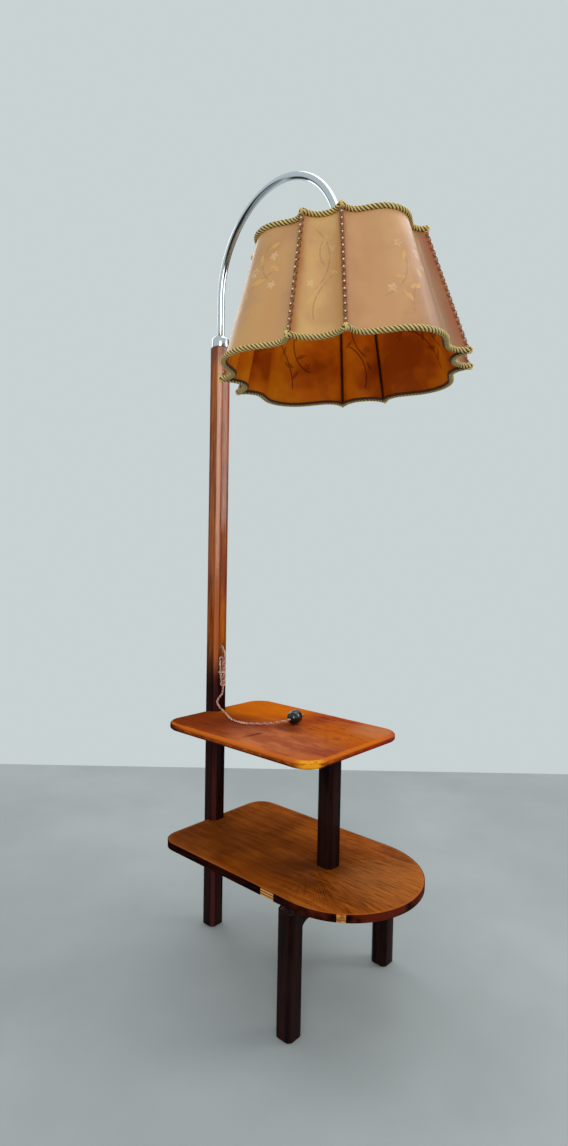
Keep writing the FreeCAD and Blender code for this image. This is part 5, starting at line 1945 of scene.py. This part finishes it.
CORD_ROUTE: tuple[Point, ...] = (
    (0.0205, 0.0, 0.704), (0.03082, 0.0, 0.69368), (0.03082, 0.0, 0.67908), (0.03082, 0.0, 0.6195),
    (0.03082, 0.0, 0.6085), (0.03082, -0.011, 0.6085), (0.03082, -0.011, 0.6195), (0.02502, -0.011, 0.667),
    (0.02502, -0.011, 0.678), (0.02502, 0.0, 0.678), (0.02502, 0.0, 0.667), (0.02502, 0.0, 0.601),
    (0.025, 0.0, 0.5905), (0.0254, -0.007, 0.5825), (0.026, -0.0175, 0.577), (0.0285, -0.0215, 0.566),
    (0.038, -0.018, 0.5555), (0.052, -0.017, 0.5486), (0.072, -0.027, 0.5467), (0.098, -0.043, 0.5466),
    (0.128, -0.051, 0.5466), (0.156, -0.046, 0.5466), (0.175, -0.032, 0.5466), (0.190, -0.020, 0.5474),
    (0.204, -0.0135, 0.5506), (0.217, -0.0128, 0.5543), (0.229, -0.0107, 0.5578), (0.2348, -0.0067, 0.5595),
    (0.2381, -0.0006, 0.5603), (0.2382, 0.0064, 0.560521), (0.2364, 0.0132, 0.560521),
)
MAST_LEAD: tuple[Point, ...] = (
    (0.0, 0.0, 1.3668), (0.0, 0.0, 1.0), (0.0, 0.0, 0.736), (0.0012, 0.0, 0.7272), (0.0047, 0.0, 0.7198),
    (0.0110, 0.0, 0.7135), (0.0200, 0.0, 0.7045),
)


@dataclass
class Flex:
    """The two-core twisted cloth flex from the mast to its plug, and the leads inside."""

    diameter: float = 0.0052
    twist: float = 0.016
    step: float = 0.0011
    lead_r: float = 0.0024
    tie_place: Point = (0.0280, -0.0055, 0.6405)
    tie_reach: Flat = (0.0062, 0.0090)
    tie_rise: float = 0.0036
    tie_turns: int = 3
    tie_r: float = 0.00055

    def spline_points(self) -> list[Vector]:
        """Points along the route's smooth line."""
        curve = bpy.data.curves.new("flex_route", "CURVE")
        curve.dimensions = "3D"
        curve.resolution_u = 16
        spline = curve.splines.new("NURBS")
        spline.points.add(len(CORD_ROUTE) - 1)
        for point, at in zip(spline.points, CORD_ROUTE):
            point.co = (*at, 1.0)
        spline.order_u = 3
        spline.use_endpoint_u = True
        mesh = baked(linked("flex_route", curve))
        return [v.co.copy() for v in mesh.vertices]

    def build(self, plug: "Plug") -> None:
        rose = Yarn("braid_rose", tone(232, 142, 120), tone(128, 58, 46), 0.0016, 2.0,
                    tone(238, 182, 156)).material()
        cream = Yarn("braid_cream", tone(248, 224, 202), tone(150, 100, 78), 0.0016, 2.0).material()
        line = self.spline_points()
        length = sum((b - a).length for a, b in zip(line, line[1:]))
        core = self.diameter / 4
        cores = [Strand(0.0, 1, rose), Strand(math.pi, 1, cream)]
        sizes = lay_sizes(core * 0.90, core * 1.12, length / self.twist, round(length / self.step), 10)
        flex = placed(twisted("flex", [line], False, cores, sizes), Body.STAND,
                      ["cord_start", "cord_hank", "cord_lead"])
        tie = self.build_tie(cream)
        self.build_leads(rose)

    def build_tie(self, material: Material) -> Object:
        """The thread that holds the hank together, wound round it three times."""
        line = []
        for share in spread(0.0, 1.0, 96):
            turn = 2 * math.pi * self.tie_turns * share
            c, s = [math.copysign(abs(v) ** 0.7, v) for v in (math.cos(turn), math.sin(turn))]
            off = Vector((self.tie_reach[0] * c, self.tie_reach[1] * s, self.tie_rise * share))
            line.append(Vector(self.tie_place) + off)
        shell = Shell()
        shell.tube(line, [self.tie_r] * len(line), 8)
        return placed(shell.piece("hank_tie", [material], 60.0), Body.STAND)

    def build_leads(self, material: Material) -> None:
        """The leads inside the mast and the bow, which nobody sees."""
        shell = Shell()
        line = [Vector(p) for p in MAST_LEAD]
        shell.tube(line, [self.lead_r] * len(line), 12)
        placed(shell.piece("lead_in_mast", [material], 60.0), Body.STAND, ["post_lead"])
        shell = Shell()
        line = bow_line(1.3675, 1.46, 40, 0.0258)
        shell.tube(line, [self.lead_r] * len(line), 12)
        placed(shell.piece("lead_in_bow", [material], 60.0, ARM), Body.ARM, ["arm_lead"])


@dataclass
class Plug:
    """The round two-pin plug that lies on the upper board."""

    radius: float = 0.0164
    neck_r: float = 0.0055
    neck: float = 0.0045
    shoulder: float = 0.0235
    cover: float = 0.0285
    base: float = 0.004
    pieces: list[Object] = field(default_factory=list)

    def place(self) -> Matrix:
        """Take the plug from its own axis to the end of the cord's route."""
        end = Vector(CORD_ROUTE[-1])
        ahead = (end - Vector(CORD_ROUTE[-2])).normalized()
        turn = Vector((0.0, 0.0, 1.0)).rotation_difference(ahead)
        return Matrix.Translation(end) @ turn.to_matrix().to_4x4()

    def dome(self) -> list[Flat]:
        """The cover's shoulder, round from the neck to the wall."""
        start = self.neck_r + 0.0008
        line = []
        for a in spread(12.0, 90.0, 14):
            turn = math.radians(a)
            line.append((start + (self.radius - start) * math.sin(turn) ** 1.15,
                         self.shoulder - (self.shoulder - self.neck - 0.0008) * math.cos(turn)))
        return line

    def build(self) -> None:
        """Mould the cover and the base, and dress the pins in brass."""
        black = Moulded("plug_moulding", tone(10, 11, 11), tone(16, 17, 17), 0.28, 0.5).material()
        place = self.place()
        r, n = self.radius, self.neck_r
        shell = Shell()
        mouth = [(0.0034, 0.0010), (0.0036, 0.0002), (n - 0.0006, 0.0), (n, 0.0006), (n, self.neck)]
        wall = [(r, self.cover - 0.0006), (r - 0.0005, self.cover - 0.0001)]
        shell.lathe(mouth + self.dome() + wall, 72, place)
        cover = placed(shell.piece("plug_cover_moulding", [black], 40.0), Body.STAND, ["plug_cover"])
        shell = Shell()
        top = self.cover + self.base
        shell.lathe([(r - 0.0008, self.cover), (r - 0.0004, self.cover + 0.0003), (r - 0.0004, top - 0.0010),
                     (r - 0.0014, top), (0.003, top), (0.0028, top - 0.0012), (0.0, top - 0.0012)], 72, place)
        base = placed(shell.piece("plug_base_moulding", [black], 40.0), Body.STAND, ["plug_base"])
        dressed("plug_pins", BRASS.material())
        self.pieces = [cover, base, frame["nodes"]["plug_pins"]]


# The studio.


@dataclass
class Studio:
    """Floor, soft lights and the camera where the photograph was taken."""

    place: Point = (1.23205, -1.12430, 0.95613)
    yaw: float = 41.949
    pitch: float = -2.365
    roll: float = 1.033
    focal_px: float = 670.34
    long_side_px: float = 1146.0
    floor_near: float = 0.93
    floor_far: float = 2.83
    floor_side: float = 5.0

    def build_camera(self) -> None:
        """The camera, with the photograph's place, direction and angle of view."""
        yaw, pitch, roll = (math.radians(a) for a in (self.yaw, self.pitch, self.roll))
        ahead = Vector((-math.sin(yaw) * math.cos(pitch), math.cos(yaw) * math.cos(pitch), math.sin(pitch)))
        right = Vector((math.cos(yaw), math.sin(yaw), 0.0))
        up = right.cross(ahead)
        across = right * math.cos(roll) + up * math.sin(roll)
        above = up * math.cos(roll) - right * math.sin(roll)
        data = bpy.data.cameras.new("camera")
        data.sensor_width = 36.0
        data.lens = 36.0 * self.focal_px / self.long_side_px
        data.clip_start = 0.02
        camera = linked("camera", data)
        matrix = Matrix((across, above, -ahead)).transposed().to_4x4()
        matrix.translation = Vector(self.place)
        camera.matrix_world = matrix
        bpy.context.scene.camera = camera

    def ground(self, ahead: float, across: float) -> Point:
        """A point on the floor, so far ahead of the camera and to its right."""
        yaw = math.radians(self.yaw)
        return (self.place[0] - math.sin(yaw) * ahead + math.cos(yaw) * across,
                self.place[1] + math.cos(yaw) * ahead + math.sin(yaw) * across, 0.0)

    def build_floor(self) -> None:
        """A plain pale floor, as deep as the picture shows."""
        def build(g: Graph) -> dict:
            """Pale grey screed with faint clouds."""
            spot = g.spot()
            cloud = g.noise(spot, 1.6, 4.0)
            grit = g.noise(spot, 60.0, 3.0)
            colour = g.mix(cloud.step(0.35, 0.7), tone(156, 163, 163), tone(168, 175, 175))
            colour = g.mix(grit.step(0.55, 0.8) * 0.15, colour, tone(152, 158, 158))
            return {"Base Color": colour, "Roughness": 0.7}
        mesh = bpy.data.meshes.new("floor")
        near, far, side = self.floor_near, self.floor_far, self.floor_side
        corners = [self.ground(*at) for at in ((near, -side), (near, side), (far, side), (far, -side))]
        mesh.from_pydata(corners, [], [(0, 1, 2, 3)])
        floor = finished("floor", mesh, [new_material("floor_screed", build)], 30.0)

    def build_lights(self) -> None:
        """A big soft light by the camera, a window at the right, one at the left, one above."""
        self.panel_light("key", (2.6, -2.9, 2.1), (0.2, 0.0, 0.9), 1.6, 2.4, 56.0)
        self.panel_light("left", (-2.6, 0.6, 2.4), (0.2, 0.0, 0.8), 1.8, 1.8, 20.0)
        self.panel_light("window", (2.2, 2.0, 2.1), (0.0, 0.0, 1.2), 0.9, 1.6, 24.0)
        self.panel_light("above", (0.5, 0.9, 3.2), (0.2, 0.0, 0.6), 2.0, 2.0, 24.0)

    def build_room(self) -> None:
        """A pale backdrop, and for the metal a pale room with a dark part low behind the camera."""
        world = bpy.data.worlds.new("room")
        bpy.context.scene.world = world
        world.use_nodes = True
        world.node_tree.nodes.clear()
        g = Graph(world.node_tree)
        path = g.add("ShaderNodeLightPath")
        x, y, z = g.split(g.out(g.add("ShaderNodeTexCoord"), "Generated"))
        yaw = math.radians(self.yaw)
        back = x * math.sin(yaw) - y * math.cos(yaw)
        backdrop = tone(201, 210, 211)
        soft = g.mix(z.step(-0.3, 0.5), tone(150, 152, 152), tone(190, 194, 196))
        low = z.step(0.04, -0.12) * back.step(-0.35, 0.05)
        sides = back.step(-0.88, -0.80) * back.step(-0.30, -0.42) * abs(z).step(0.50, 0.35)
        room = g.mix(back.step(-0.85, -0.60), backdrop, tone(214, 222, 224))
        room = g.mix(low.high(sides), room, tone(44, 48, 52))
        colour = g.mix(g.out(path, "Is Glossy Ray"), soft, room)
        seen = g.out(path, "Is Camera Ray").high(g.out(path, "Is Transmission Ray"))
        colour = g.mix(seen, colour, backdrop)
        light = g.add("ShaderNodeBackground", None, {"Color": colour, "Strength": 1.0})
        g.add("ShaderNodeOutputWorld", None, {"Surface": light.outputs[0]})

    def panel_light(self, name: str, place: Point, aim: Point, wide: float, tall: float,
                    power: float) -> None:
        """A rectangular soft light.

        Args:
            name: The light's name.
            place: Where it hangs.
            aim: What it faces.
            wide: Its width.
            tall: Its height.
            power: Its power in watts.
        """
        data = bpy.data.lights.new(name, "AREA")
        data.shape = "RECTANGLE"
        data.size = wide
        data.size_y = tall
        data.energy = power
        lamp = linked(name, data)
        lamp.visible_camera = False
        lamp.location = place
        lamp.rotation_euler = (Vector(aim) - Vector(place)).to_track_quat("-Z", "Y").to_euler()


def main() -> None:
    """Build every sub-assembly in order."""
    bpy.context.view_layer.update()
    bpy.context.scene.view_settings.view_transform = "Standard"
    studio = Studio()
    studio.build_camera()
    plug = Plug()
    plug.build()
    Flex().build(plug)
    Woodwork().build()
    StandMetal().build()
    Bow().build()
    Lampholder().build()
    Shade().build()
    studio.build_floor()
    studio.build_lights()
    studio.build_room()


if __name__ == "__main__":
    main()
